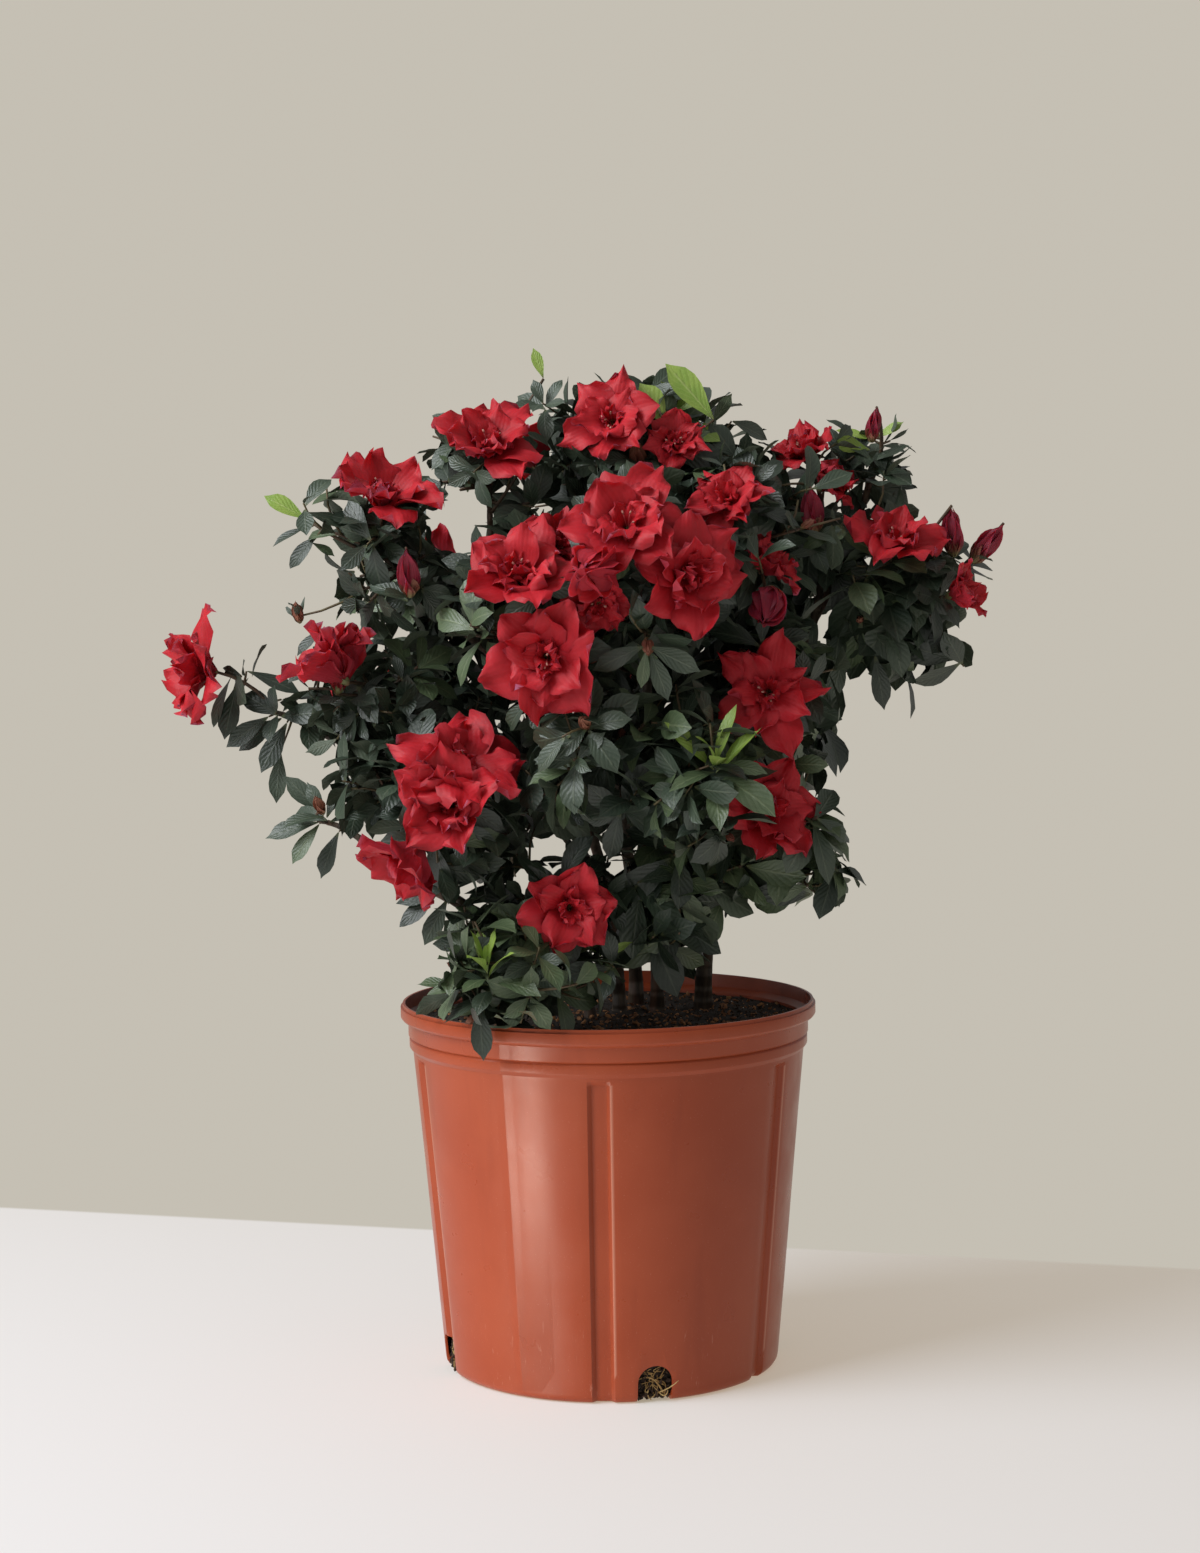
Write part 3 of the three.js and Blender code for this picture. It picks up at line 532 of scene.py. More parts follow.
def joinBlades(name, grid, blades, thickness, materials, most=4000):
    # Pieces of at most so many blades each, with the front and the back in their own materials
    count = len(blades["length"])
    pieces = []
    for part, first in enumerate(range(0, count, most)):
        chunk = {key: value[first:first + most] for key, value in blades.items()}
        spots = bendBlades(grid, chunk, thickness)
        number = spots.shape[0]
        faces = grid["faces"][None] + (np.arange(number) * spots.shape[1])[:, None, None]
        title = name if count <= most else name + str(part + 1)
        mesh = fromArrays(title, spots.reshape(-1, 3), faces.reshape(-1, 4))
        mesh.polygons.foreach_set("material_index", np.tile(~grid["front"], number).astype(np.int32))
        flat = np.stack([(grid["u"] + 1) / 2, grid["v"]], axis=1)[grid["faces"]].reshape(-1, 2)
        mesh.uv_layers.new(name="blade").data.foreach_set("uv", np.tile(flat, (number, 1)).ravel())
        mesh.set_sharp_from_angle(angle=math.radians(85))  # the rim, so that front and back shade apart
        pieces.append(addPiece(title, mesh, materials))
    return pieces


def perBlade(count, **values):
    # Single values are repeated for each blade of a ring
    return {key: np.full(count, value) if np.ndim(value) == 0 else value for key, value in values.items()}


def gather(lists):
    # One dictionary of long arrays out of many small ones
    return {key: np.concatenate([part[key] for part in lists]) for key in lists[0]}


def squareTo(axis):
    # Two directions square to an axis
    side = np.cross(axis, up) if abs(axis[2]) < 0.9 else np.cross(axis, [1.0, 0, 0])
    side = unit(side)
    return side, np.cross(side, axis)


def ring(axis, turns):
    side, third = squareTo(axis)
    return np.sin(turns)[:, None] * side + np.cos(turns)[:, None] * third


# Twigs: thin four-sided tubes along a bent line

def bendTubes(runs, radii, rings):
    controls = np.asarray(runs, float)  # one start, bend and end for each tube
    t = np.linspace(0, 1, rings)[None, :, None]
    start, bend, end = controls[:, None, 0], controls[:, None, 1], controls[:, None, 2]
    centre = start * (1 - t) ** 2 + 2 * bend * t * (1 - t) + end * t * t
    tangent = unit(2 * (bend - start) * (1 - t) + 2 * (end - bend) * t + 1e-9)
    away = np.where(np.abs(unit(end - start)[..., 2:]) < 0.9, up, np.array([1.0, 0, 0]))
    side = unit(np.cross(tangent, away))
    third = np.cross(side, tangent)
    turn = fullTurn * np.arange(tubeSides) / tubeSides
    radius = (radii[:, :1] + (radii[:, 1:] - radii[:, :1]) * t[..., 0])[..., None, None]
    outward = np.cos(turn)[:, None] * side[:, :, None] + np.sin(turn)[:, None] * third[:, :, None]
    return centre[:, :, None] + outward * radius


def joinTubes(name, runs, radii, slot, material, rings=5):
    spots = bendTubes(runs, np.asarray(radii, float), rings)
    low = np.arange(rings - 1)[:, None] * tubeSides
    high = low + tubeSides
    k, after = np.arange(tubeSides), (np.arange(tubeSides) + 1) % tubeSides
    walls = np.stack([low + k, high + k, high + after, low + after], axis=-1)
    last = (rings - 1) * tubeSides
    caps = [[0, 1, 2, 3], [last, last + 3, last + 2, last + 1]]
    faces = np.concatenate([walls.reshape(-1, 4), np.array(caps)])[:, ::-1]
    faces = faces[None] + (np.arange(len(spots)) * tubeSides * rings)[:, None, None]
    return addPiece(name, fromArrays(name, spots.reshape(-1, 3), faces.reshape(-1, 4)), [material])


# Growth: each twig of the rule carries side twigs, and each tip a whorl of leaves

growth = {
    "sideTwigs": (1, 3), "sideLength": (22, 36), "sideOpening": (42, 66), "sideFrom": (0.35, 0.95),
    "lift": 0.35, "bow": 0.12, "twigRadius": (1.5, 0.95), "sideRadius": (0.95, 0.65),
    "fineSpacing": 500, "fineShare": (0.2, 0.9), "fineRoot": (0.25, 0.95), "standOut": 7,
    "limbClearance": 2, "scaleBudShare": 0.14, "gapJitter": (0.6, 1.3), "freshShare": 0.45, "seed": 7001,
    "leafStandOut": 12, "limeStandOut": 40, "leafClearance": 1, "testedAt": (0.25, 0.6, 1),
}
leafLook = {
    "outline": (0.07, 0.34, 0.68, 0.93, 1.0, 0.82, 0.25), "thickness": 0.5, "curl": (6, 38), "fold": (4, 22),
    "spread": 9, "taper": 0.35, "turnJitter": 0.12, "leanJitter": 0.1, "lengthJitter": (0.85, 1.08),
    "off": 0.7, "curlBack": 0.3, "placedCurl": 0.4, "power": 1.1, "ruffle": (0, 0.9), "waves": (1, 2),
    "twist": 0.2, "point": 1.7, "round": 0.8,
}
# A kind of whorl: how many leaves it has, their length, their width as a share of it, and how many degrees
# the lowest and the highest lean out
whorls = {
    "leafy": ((6, 8), (30, 41), (0.44, 0.54), (82, 108), (32, 52)),
    "drooping": ((6, 8), (36, 46), (0.46, 0.56), (112, 134), (76, 98)),
    "collar": ((6, 7), (34, 41), (0.34, 0.42), (84, 102), (62, 76)),
    "narrow": ((6, 7), (29, 34), (0.25, 0.31), (40, 56), (8, 20)),
    "broad": ((4, 6), (30, 36), (0.5, 0.6), (58, 84), (24, 40)),
    "single": ((1, 1), (30, 32), (0.38, 0.44), (20, 24), (20, 24)),
}
# How far below a bloom, bud or shoot its own leaves stand
collarGaps = {"bloom": 6, "scaly": 4, "bud": 34, "narrow": 9, "shoot": 16}
shades = {"dark": 0.48, "mid": 0.37, "light": 0.15}
# How some masses and single blooms, buds and shoots differ from the rest
habits = {
    "left_arm": dict(bare=True), "left_low_tip": dict(bare=True), "right_high_tip": dict(bare=True),
    "right_arm": dict(look="drooping"), "right_low": dict(look="drooping", fresh=True),
    "low_right": dict(look="drooping", fresh=True), "pot_edge_left": dict(fresh=True),
}
forms = {
    "bloom": {
        "left_arm": [dict(facing=(-66, 4), shift=(8, 0, -12))],
        "left": [dict(facing=(-80, 44), shift=(-6, 0, -10), opening=0.62, slender=0.86, size=0.96)],
        "left_shoulder": [dict(facing=(24, 62), opening=0.9, size=1.08)],
        "upper_left": [dict(facing=(-4, 46), size=0.92, shift=(8, 0, 2))],
        "crown_top": [dict(facing=(-14, 18), size=0.82, shift=(0, -4, 4)), dict(size=0.6, shift=(4, 0, 2))],
        "lower_left": [dict(size=1.06, shift=(0, 0, -8)),
                       dict(facing=(-4, 8), opening=0.74, size=1.04, shift=(8, 0, 4)),
                       dict(facing=(-52, -48), opening=0.66, size=1.08, shift=(10, -4, 8))],
        "heart_left": [dict(size=1.06), dict(facing=(-8, 4), size=1.04, shift=(10, 0, 0))],
        "heart_middle": [dict(size=1.0), dict(size=0.94, ball=True, shift=(0, -15, 13)),
                         dict(size=1.07, shift=(2, 0, 3))],
        "heart_right": [dict(size=0.68, shift=(-1, 0, 8)),
                        dict(facing=(60, 50), size=0.62, shift=(-3, 14, -4))],
        "low_middle": [dict(facing=(4, 0), size=0.88)],
        "back_right": [dict(size=0.86, shift=(-34, 16, -4)),
                       dict(size=0.8, opening=0.84, shift=(-24, 10, -2))],
        "right": [dict(size=0.94, slender=0.8, point=2.5)],
        "right_low": [dict(facing=(24, 18), size=0.98, shift=(-15, 0, 0))],
        "right_shoulder": [dict(facing=(-30, 62), opening=0.9, size=0.62, shift=(3, 20, 3)),
                           dict(facing=(60, 44), opening=0.9, size=0.62, shift=(-6, 24, 2))],
        "right_arm": [dict(facing=(24, 58), size=0.88), dict(opening=0.7, size=0.6, shift=(-12, 0, -2))],
    },
    "bud": {
        "left_shoulder": [dict(facing=(0, 66), shift=(-4, -12, 8))],
        "left_low_tip": [dict(scaly=True, facing=(-30, 48))],
        "heart_middle": [dict(scaly=True)],
        "centre_low": [dict(scaly=True)],
        "heart_right": [dict(ball=True, shift=(19, -24, -10), size=0.9)],
        "right_shoulder": [dict(facing=(-10, 80), shift=(0, -8, 14))],
        "right_high_tip": [dict(facing=(20, 76), shift=(4, 0, 10), size=0.7)],
        "right_arm": [dict(facing=(-30, 84), shift=(0, 0, 20)), dict(facing=(90, 46), shift=(24, 0, 16))],
    },
    "shoot": {
        "crown_top": [dict(look="leafy", shade="mid"), dict(look="broad")],
        "upper_left": [dict(look="single", facing=(-10, 20), aim=(-90, 72), size=0.7, shift=(13, 0, 8))],
        "left_shoulder": [dict(look="single", facing=(-30, 40), aim=(-92, 30), shift=(1, 0, -12))],
        "pot_edge_left": [dict(look="narrow", facing=(-14, 66), size=1.1)],
        "front_right": [dict(look="narrow", facing=(0, 50), size=1.35)],
        "right_high_tip": [dict(look="single", facing=(-86, 14))],
    },
}
# Smaller blooms that stand between the others: the place of the throat and the way it faces
moreBlooms = [
    dict(mass="heart_left", at=(-31, -113, 547), facing=(34, 34), size=0.66, opening=0.75),
    dict(mass="heart_middle", at=(-3, -140, 519), facing=(-6, -30), size=0.58, opening=0.85),
    dict(mass="left", at=(-173, -68, 458), facing=(16, 74), size=1.04, opening=0.34, slender=0.8),
]
# Sprays at the crown's open edges, by the mass that they grow from. A row holds the place where the leaves
# meet the twig, the way they face, how many they are, their size, their shade, their kind of whorl, and the
# size of a scaly bud. A direction in place of the number makes one leaf that points there.
sprays = {
    "left_arm": [
        ((-240, -28, 469), (-70, 12), 4, 0.8), ((-237, -26, 472), (0, 60), (85, -22), 1.1),
        ((-243, -28, 464), (-20, 10), (-50, -72), 1.15, "dark"),
        ((-217, -35, 444), (-25, 22), 5, 0.95, "dark"),
        ((-215, -30, 419), (0, 15), (-40, -82), 1.15, "mid"), ((-214, -28, 453), (0, 65), (86, 8), 1.05),
        ((-196, -30, 446), (20, 40), 4, 0.8), ((-210, -32, 438), (-10, 16), (-60, -58), 1.15, "dark"),
        ((-222, -32, 442), (10, 20), (-86, -34), 1.1, "dark"),
    ],
    "left": [
        ((-186, -30, 499), (-12, 26), (-96, -44), 0.85, "dark"), ((-168, -48, 446), (-60, -20), 5, 0.9),
        ((-174, -60, 457), (-10, 40), (88, -25), 1.2, "mid", "broad"),
    ],
    "left_shoulder": [
        ((-200, -42, 508), (-20, 70), 4, 0.5, "mid", "narrow", 0.5),
        ((-193, -50, 566), (0, 50), (-90, -28), 0.8, "dark"),
        ((-186, -52, 561), (-15, 20), (-94, -48), 0.9, "dark"),
        ((-190, -50, 556), (0, 40), (82, -30), 0.62, "light"), ((-166, -52, 536), (-60, -12), 4, 0.82),
    ],
    "left_low_tip": [
        ((-176, -42, 366), (-18, 24), (-84, -66), 1.15, "dark"),
        ((-186, -46, 378), (-10, 20), (-90, 46), 1, "mid"), ((-163, -46, 384), (10, 40), 6, 0.9),
        ((-150, -50, 400), (-40, 10), 6, 0.95, "dark"),
        ((-188, -50, 373), (-10, 40), (-88, -14), 1.2, "mid"),
        ((-188, -50, 372), (-20, 20), (-75, -52), 1, "light"),
    ],
    "right_high_tip": [
        ((181, -2, 621), (0, 45), (-88, 16), 0.75, "lime"),
        ((183, -2, 622), (10, 40), (82, 30), 0.7, "lime"), ((181, 0, 608), (10, 66), 6, 0.8),
        ((193, 0, 620), (70, 24), 4, 0.75, "mid", "narrow"),
        ((192, 0, 606), (84, -4), 3, 0.75, "mid", "narrow"), ((174, -5, 595), (-14, 14), 5, 0.85),
        ((190, 0, 589), (0, 62), (86, 2), 0.62, "dark"), ((162, -5, 606), (-50, 24), 5, 0.82),
    ],
    "right_arm": [
        ((150, -32, 541), (-20, 40), 6, 1, None, "drooping"),
        ((172, -44, 530), (-10, 42), 7, 1.08, None, "drooping"),
        ((206, -38, 538), (20, 36), 6, 1, None, "drooping"),
        ((206, -40, 524), (24, 44), 7, 0.98, None, "drooping"),
        ((186, -44, 500), (0, 34), 7, 1.06, None, "drooping"),
        ((220, -30, 533), (44, 34), 6, 0.86, None, "drooping"),
        ((156, -36, 496), (-20, 30), 6, 1, None, "drooping"),
        ((158, -40, 480), (-6, 24), (-88, -74), 1.15, "mid"),
        ((178, -40, 478), (6, 20), (86, -80), 1.2, "dark"),
    ],
    "right": [
        ((138, -44, 446), (50, 14), 3, 0.64), ((57, -48, 478), (-14, 36), 7, 1, "dark"),
        ((54, -52, 458), (0, 20), 7, 1, "dark"),
    ],
    "heart_middle": [
        ((27, -146, 488), (0, 20), (90, -26), 1.25, "mid"),
        ((26, -147, 486), (4, 24), (-90, -82), 0.8, "light"),
        ((28, -145, 486), (8, 14), (86, -70), 1.1, "mid"),
        ((25, -146, 488), (-8, 24), (-90, -24), 1, "mid"),
    ],
    "lower_left": [
        ((-109, -70, 329), (-10, 26), (-90, -42), 1, "dark"),
        ((-104, -66, 323), (0, 22), (-84, -62), 1, "mid"),
        ((-101, -70, 332), (0, 34), (-90, -16), 1.1, "dark"),
    ],
    "centre_low": [
        ((44, -82, 462), (14, 34), 7, 1, "mid"),
    ],
    "crown_top": [
        ((73, -58, 632), (-6, 24), (-92, 50), 1.42, "lime"),
        ((42, -64, 629), (-10, 20), (-92, 58), 0.95, "lime", "broad"),
        ((73, -20, 631), (10, 30), (84, 57), 0.75, "light"),
        ((86, -22, 633), (0, 30), (112, -24), 0.9, "mid", "broad"),
        ((-38, -40, 645), (-20, 36), 7, 0.74, "mid"), ((23, -74, 607), (6, 34), 8, 0.8, "mid", None, 0.7),
    ],
    "right_low": [
        ((134, -48, 404), (70, 20), 3, 0.5), ((136, -54, 366), (16, 50), 7, 1.04, None, "drooping"),
        ((118, -60, 352), (-10, 46), 7, 1.04, None, "drooping"),
    ],
    "low_right": [
        ((20, -84, 334), (-16, 44), 7, 1, None, "drooping"),
        ((48, -84, 336), (12, 40), 7, 1, None, "drooping"),
        ((28, -74, 304), (-10, 40), 7, 1, "dark", "drooping"),
        ((44, -74, 311), (8, 40), 7, 0.9, "dark", "drooping"),
    ],
    "pot_edge_left": [
        ((-2, -98, 288), (10, 46), 4, 0.66, "lime", "narrow"),
        ((-81, -128, 264), (-8, 22), (20, -84), 1.25, "dark"),
        ((-44, -124, 266), (0, 34), (34, -56), 1.05, "light"),
        ((-18, -120, 264), (0, 28), (16, -74), 0.9, "mid"),
        ((-84, -100, 297), (-12, 40), (-94, 2), 0.8, "dark"),
    ],
}
# The room that a bloom needs before its face, in millimetres along its axis and aside of it
bloomRoom = {"behind": -2, "ahead": 44, "throat": 12, "opening": 1.5, "aside": 33}
budRoom = {"middle": 17, "behind": -6, "ahead": 60, "aside": 13}


def leafWhorl(rng, tip, axis, shade, look="leafy", scale=1.0, count=None, aim=None):
    # The lowest leaf of a whorl is the longest and leans out the most
    counts, lengths, slenderness, outer, inner = whorls[look]
    count = count or int(rng.integers(counts[0], counts[1] + 1))
    order = np.arange(count) / max(1, count - 1)
    turns = rng.uniform(0, fullTurn) + goldenAngle * np.arange(count)
    turns = turns + rng.normal(0, leafLook["turnJitter"], count)
    lean = between((rng.uniform(*outer), rng.uniform(*inner)), order ** 1.2)
    lean = np.radians(lean) + rng.normal(0, leafLook["leanJitter"], count)
    length = rng.uniform(*lengths) * scale * (1 - leafLook["taper"] * order ** 2)
    length = length * rng.uniform(*leafLook["lengthJitter"], count)
    radial = ring(axis, turns)
    if aim is not None:
        radial = unit(heading(aim) - axis * (heading(aim) @ axis))[None]
        lean = np.arccos(heading(aim) @ axis)[None]
    base = tip - axis * (leafLook["spread"] * scale * (1 - order))[:, None] * (aim is None)
    curl = np.radians(rng.uniform(*leafLook["curl"], count)) * (1 if aim is None else leafLook["placedCurl"])
    return perBlade(
        count, base=base + radial * leafLook["off"], axis=np.tile(axis, (count, 1)), radial=radial,
        length=length, width=length * rng.uniform(*slenderness, count),
        start=lean - curl * leafLook["curlBack"], end=lean + curl, power=leafLook["power"],
        fold=np.radians(rng.uniform(*leafLook["fold"], count)), cup=0.0,
        ruffle=rng.uniform(*leafLook["ruffle"], count), waves=rng.uniform(*leafLook["waves"], count),
        phase=rng.uniform(*anyPhase, count), twist=rng.normal(0, leafLook["twist"], count), pleat=0.0,
        point=leafLook["point"] * scale, round=leafLook["round"] * scale, kind=shade,
        placed=aim is not None, young=False)


def layOutGrowth(limbs):
    # The twigs of every mass that the rule keeps, with the forms of their blooms, buds and shoots
    for index, mass in enumerate(masses):
        mass["twigs"] = []
        own = {kind: list(forms[kind].get(mass["name"], [])) for kind in forms}
        for twig in layOutTwigs(mass, wood["firstSeed"] + wood["seedStep"] * index):
            form = own[twig["kind"]].pop(0) if own.get(twig["kind"]) else {}
            tip = drawTwigBack(mass, twig, limbs)
            if tip is not None:
                twig.update(form=form, tip=tip + np.array(form.get("shift", (0, 0, 0))))
                if "facing" in form:
                    twig["facing"] = heading(form["facing"])
                mass["twigs"].append(twig)
        for more in moreBlooms:
            if more["mass"] == mass["name"]:
                mass["twigs"].append(dict(kind="bloom", tip=np.array(more["at"], float), form=more,
                                          facing=heading(more["facing"]), root=heartCurve(mass)[-1]))


def aheadAndAside(spots, foot, direction):
    away = spots - foot
    ahead = away @ direction
    return ahead, np.linalg.norm(away - ahead[..., None] * direction, axis=-1)


def beforeBloom(spots, blooms):
    # True for points that would stand in a bloom's throat or before its face
    hit = np.zeros(spots.shape[:-1], bool)
    for bloom in blooms:
        ahead, aside = aheadAndAside(spots, bloom["tip"], bloom["facing"])
        wide = bloomRoom["throat"] + bloomRoom["opening"] * np.maximum(ahead, 0)
        size = bloom["form"].get("size", 1)
        near = (ahead > bloomRoom["behind"]) & (ahead < bloomRoom["ahead"] * size)
        hit |= near & (aside < np.minimum(bloomRoom["aside"], wide) * size)
    return hit


def beforeBud(spots, buds):
    # True for points that would hide a bud from outside the crown
    hit = np.zeros(spots.shape[:-1], bool)
    for tip, facing, outward in buds:
        ahead, aside = aheadAndAside(spots, tip - facing * budRoom["middle"], outward)
        hit |= (ahead > budRoom["behind"]) & (ahead < budRoom["ahead"]) & (aside < budRoom["aside"])
    return hit


def clearToGrow(mass, spots, limbs, blooms):
    free = (outOf(mass, spots) <= growth["standOut"]) & clearOfPot(spots) & ~inSkyGap(spots)
    return free & clearOfLimbs(spots, limbs, growth["limbClearance"]) & ~beforeBloom(spots, blooms)


def pickShade(rng, habit):
    if habit.get("fresh") and rng.random() < growth["freshShare"]:
        return "light"
    return rng.choice(list(shades), p=list(shades.values()))


def growMass(mass, index, limbs, blooms, yields):
    rng = np.random.default_rng(growth["seed"] + index)
    habit = habits.get(mass["name"], {})
    bare = habit.get("bare")
    heart = heartCurve(mass)
    twigs = [twig for twig in mass["twigs"] if twig["kind"] != "leafy" or not bare]
    count = 0 if bare else int(mass["reach"][0] ** 2 / growth["fineSpacing"])
    turn = rng.uniform(0, fullTurn)
    for k in range(count):
        direction = spread(k, count, turn)
        tip = spotOf(mass, direction, rng.uniform(*growth["fineShare"]))
        root = alongCurve(heart, rng.uniform(*growth["fineRoot"]))
        twigs.append(dict(kind="leafy", tip=tip, facing=direction, root=root, form={}))
    carriers = [alongCurve(heart, np.linspace(0.1, 1, 12))]
    for twig in twigs:
        axis = unit(twig["tip"] - twig["root"])
        side, third = squareTo(axis)
        sway = rng.normal(0, growth["bow"], 2) * np.linalg.norm(twig["tip"] - twig["root"])
        bend = (twig["root"] + twig["tip"]) / 2 + side * sway[0] + third * sway[1]
        run = [twig["root"], bend, twig["tip"]]
        if twig["kind"] != "leafy" or clearToGrow(mass, twig["tip"][None], limbs, blooms)[0]:
            yields["twigs"].append((run, growth["twigRadius"]))
            carriers.append(bezier(run, np.linspace(0.2, 0.9, 8)))
            growTip(rng, twig, run, habit, yields)
            if not bare:
                for each in range(int(rng.integers(growth["sideTwigs"][0], growth["sideTwigs"][1] + 1))):
                    growSideTwig(rng, mass, run, axis, each, limbs, blooms, yields)
    for row in sprays.get(mass["name"], []):
        growSpray(rng, np.concatenate(carriers), habit, yields, *row)


def growTip(rng, twig, run, habit, yields):
    axis, form = unit(run[2] - run[1]), twig["form"]
    tip, facing = twig["tip"], twig["facing"]

    def grow(*place, keep=False, **manner):
        yields["leaves"].append(leafWhorl(rng, *place, **manner))
        yields["leaves"][-1]["young"][:] = keep

    if twig["kind"] == "bloom":
        yields["blooms"].append(twig)
        grow(tip - axis * collarGaps["bloom"], unit(facing + axis), pickShade(rng, habit), count=7)
    elif form.get("scaly"):
        yields["scaleBuds"].append((tip, facing, 0.5))
        grow(tip - facing * collarGaps["scaly"], facing, "mid", count=8)
    elif twig["kind"] == "bud":
        yields["buds"].append((tip, facing, form.get("ball", False), form.get("size", 1)))
        yields["budViews"].append((tip, facing, unit((tip - twig["root"]) * (1, 1, 0.2))))
        grow(tip - facing * collarGaps["bud"], unit(facing + axis), "mid", scale=0.9, count=6)
    elif twig["kind"] == "shoot":
        look, size = form.get("look", "broad"), form.get("size", 1)
        grow(tip, facing, form.get("shade", "lime"), look, size, aim=form.get("aim"), keep=True)
        if look == "narrow":
            grow(tip - facing * collarGaps["narrow"], facing, "light", "collar", size, keep=True)
        if look != "single":
            grow(tip - facing * collarGaps["shoot"], facing, "mid", count=6)
    else:
        axis = unit(axis + up * growth["lift"])
        grow(tip, axis, pickShade(rng, habit), habit.get("look", "leafy"))
        if rng.random() < growth["scaleBudShare"]:
            yields["scaleBuds"].append((tip + axis * 4, axis, 0.34))


def growSideTwig(rng, mass, run, axis, each, limbs, blooms, yields):
    habit = habits.get(mass["name"], {})
    start = bezier(run, rng.uniform(*growth["sideFrom"]))
    opening = math.radians(rng.uniform(*growth["sideOpening"]))
    around = ring(axis, np.array([goldenAngle * each + rng.uniform(-0.5, 0.5)]))[0]
    direction = unit(math.cos(opening) * axis + math.sin(opening) * around + up * growth["lift"] * 0.5)
    length = rng.uniform(*growth["sideLength"])
    end = start + direction * length
    if not clearToGrow(mass, end[None], limbs, blooms)[0]:
        return
    bend = start + unit(direction + axis) * length * 0.5
    yields["sideTwigs"].append(([start, bend, end], growth["sideRadius"]))
    facing = unit(end - bend + up * growth["lift"] * length * 0.5)
    shade, look = pickShade(rng, habit), habit.get("look", "leafy")
    yields["leaves"].append(leafWhorl(rng, end, facing, shade, look, rng.uniform(0.84, 1.0)))


def growSpray(rng, carriers, habit, yields, at, facing, number, size=1, shade=None, look=None, scaly=0):
    # A spray grows from the nearest point of its mass's own wood
    aim, count = (number, 1) if isinstance(number, tuple) else (None, number)
    tip, facing = np.array(at, float), heading(facing)
    root = carriers[np.linalg.norm(carriers - tip, axis=1).argmin()]
    bend = (root + tip) / 2 - facing * np.linalg.norm(tip - root) * growth["bow"]
    yields["sideTwigs"].append(([root, bend, tip], growth["sideRadius"]))
    shade, look = shade or pickShade(rng, habit), look or ("single" if aim else "leafy")
    whorl = leafWhorl(rng, tip, facing, shade, look, size, count, aim)
    whorl["placed"][:] = True
    yields["leaves"].append(whorl)
    if scaly:
        yields["scaleBuds"].append((tip, facing, scaly))


def growShrub(limbs):
    yields = {key: [] for key in ("twigs", "sideTwigs", "leaves", "blooms", "buds", "budViews", "scaleBuds")}
    layOutGrowth(limbs)
    blooms = [twig for mass in masses for twig in mass["twigs"] if twig["kind"] == "bloom"]
    for index, mass in enumerate(masses):
        before = len(yields["leaves"])
        growMass(mass, index, limbs, blooms, yields)
        for whorl in yields["leaves"][before:]:
            whorl["mass"] = np.full(len(whorl["length"]), index)
    return yields


def keepClearLeaves(leaves, limbs, blooms, buds):
    # Leaves that leave the crown's reach, cross the pot, a limb or a bloom, or hide the sky are dropped
    rng = np.random.default_rng(growth["seed"] - 1)
    middle = leaves["start"] * 0.5 + leaves["end"] * 0.5
    direction = np.cos(middle)[:, None] * leaves["axis"] + np.sin(middle)[:, None] * leaves["radial"]
    jitter = rng.uniform(*growth["gapJitter"], len(middle))
    keep = np.ones(len(middle), bool)
    for share in growth["testedAt"]:
        spots = leaves["base"] + direction * (leaves["length"] * share)[:, None]
        stray = inSkyGap(spots, jitter)
        for index, mass in enumerate(masses):
            own = leaves["mass"] == index
            reach = growth["leafStandOut"] + growth["limeStandOut"] * (leaves["kind"][own] == "lime")
            stray[own] |= outOf(mass, spots[own]) > reach
        keep &= clearOfPot(spots) & clearOfLimbs(spots, limbs, growth["leafClearance"])
        keep &= leaves["young"] | ~(beforeBloom(spots, blooms) | beforeBud(spots, buds))
        keep &= leaves["placed"] | ~stray
    return {key: value[keep] for key, value in leaves.items()}


print("stage: growing the shrub")
limbs = layOutLimbs()
yields = growShrub(limbs)
leaves = keepClearLeaves(gather(yields["leaves"]), limbs, yields["blooms"], yields["budViews"])
print("leaves", len(leaves["length"]), "twigs", len(yields["twigs"]), len(yields["sideTwigs"]),
      "blooms", len(yields["blooms"]), "buds", len(yields["buds"]), len(yields["scaleBuds"]))

leafBase = {
    "roughness": 0.46, "patch": 70, "footFade": (0.0, 0.16), "veins": 7, "veinSlant": 5.0, "sideVein": 0.18,
    "midrib": 0.6, "bump": 0.5, "sockets": {"Specular_IOR_Level": 0.7},
}
tones = ("colour", "second", "veinColour", "foot")
leafFoot = (0.1, 0.12, 0.04)
leafColours = {
    "dark": ((0.013, 0.025, 0.014), (0.023, 0.038, 0.022), (0.065, 0.085, 0.055), leafFoot),
    "mid": ((0.029, 0.049, 0.028), (0.043, 0.065, 0.038), (0.105, 0.13, 0.085), leafFoot),
    "light": ((0.058, 0.092, 0.04), (0.085, 0.122, 0.056), (0.17, 0.21, 0.11), leafFoot),
    "lime": ((0.2, 0.33, 0.045), (0.29, 0.41, 0.07), (0.4, 0.48, 0.16), leafFoot),
}
backColours = ((0.06, 0.085, 0.052), (0.08, 0.105, 0.065), (0.13, 0.15, 0.1), (0.1, 0.1, 0.05))
leafBack = makeBlade("leafBack", dict(leafBase, roughness=0.6, **dict(zip(tones, backColours))))
limeColours = (*leafColours["lime"][:3], (0.3, 0.35, 0.1))
limeBack = makeBlade("limeBack", dict(leafBase, roughness=0.55, **dict(zip(tones, limeColours))))
leafGrid = makeBladeGrid(2, 6, leafLook["outline"])
bladeKeys = [key for key in leaves if key not in ("kind", "mass", "placed", "young")]
foliageNodes = sorted(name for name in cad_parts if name.startswith("foliage_"))
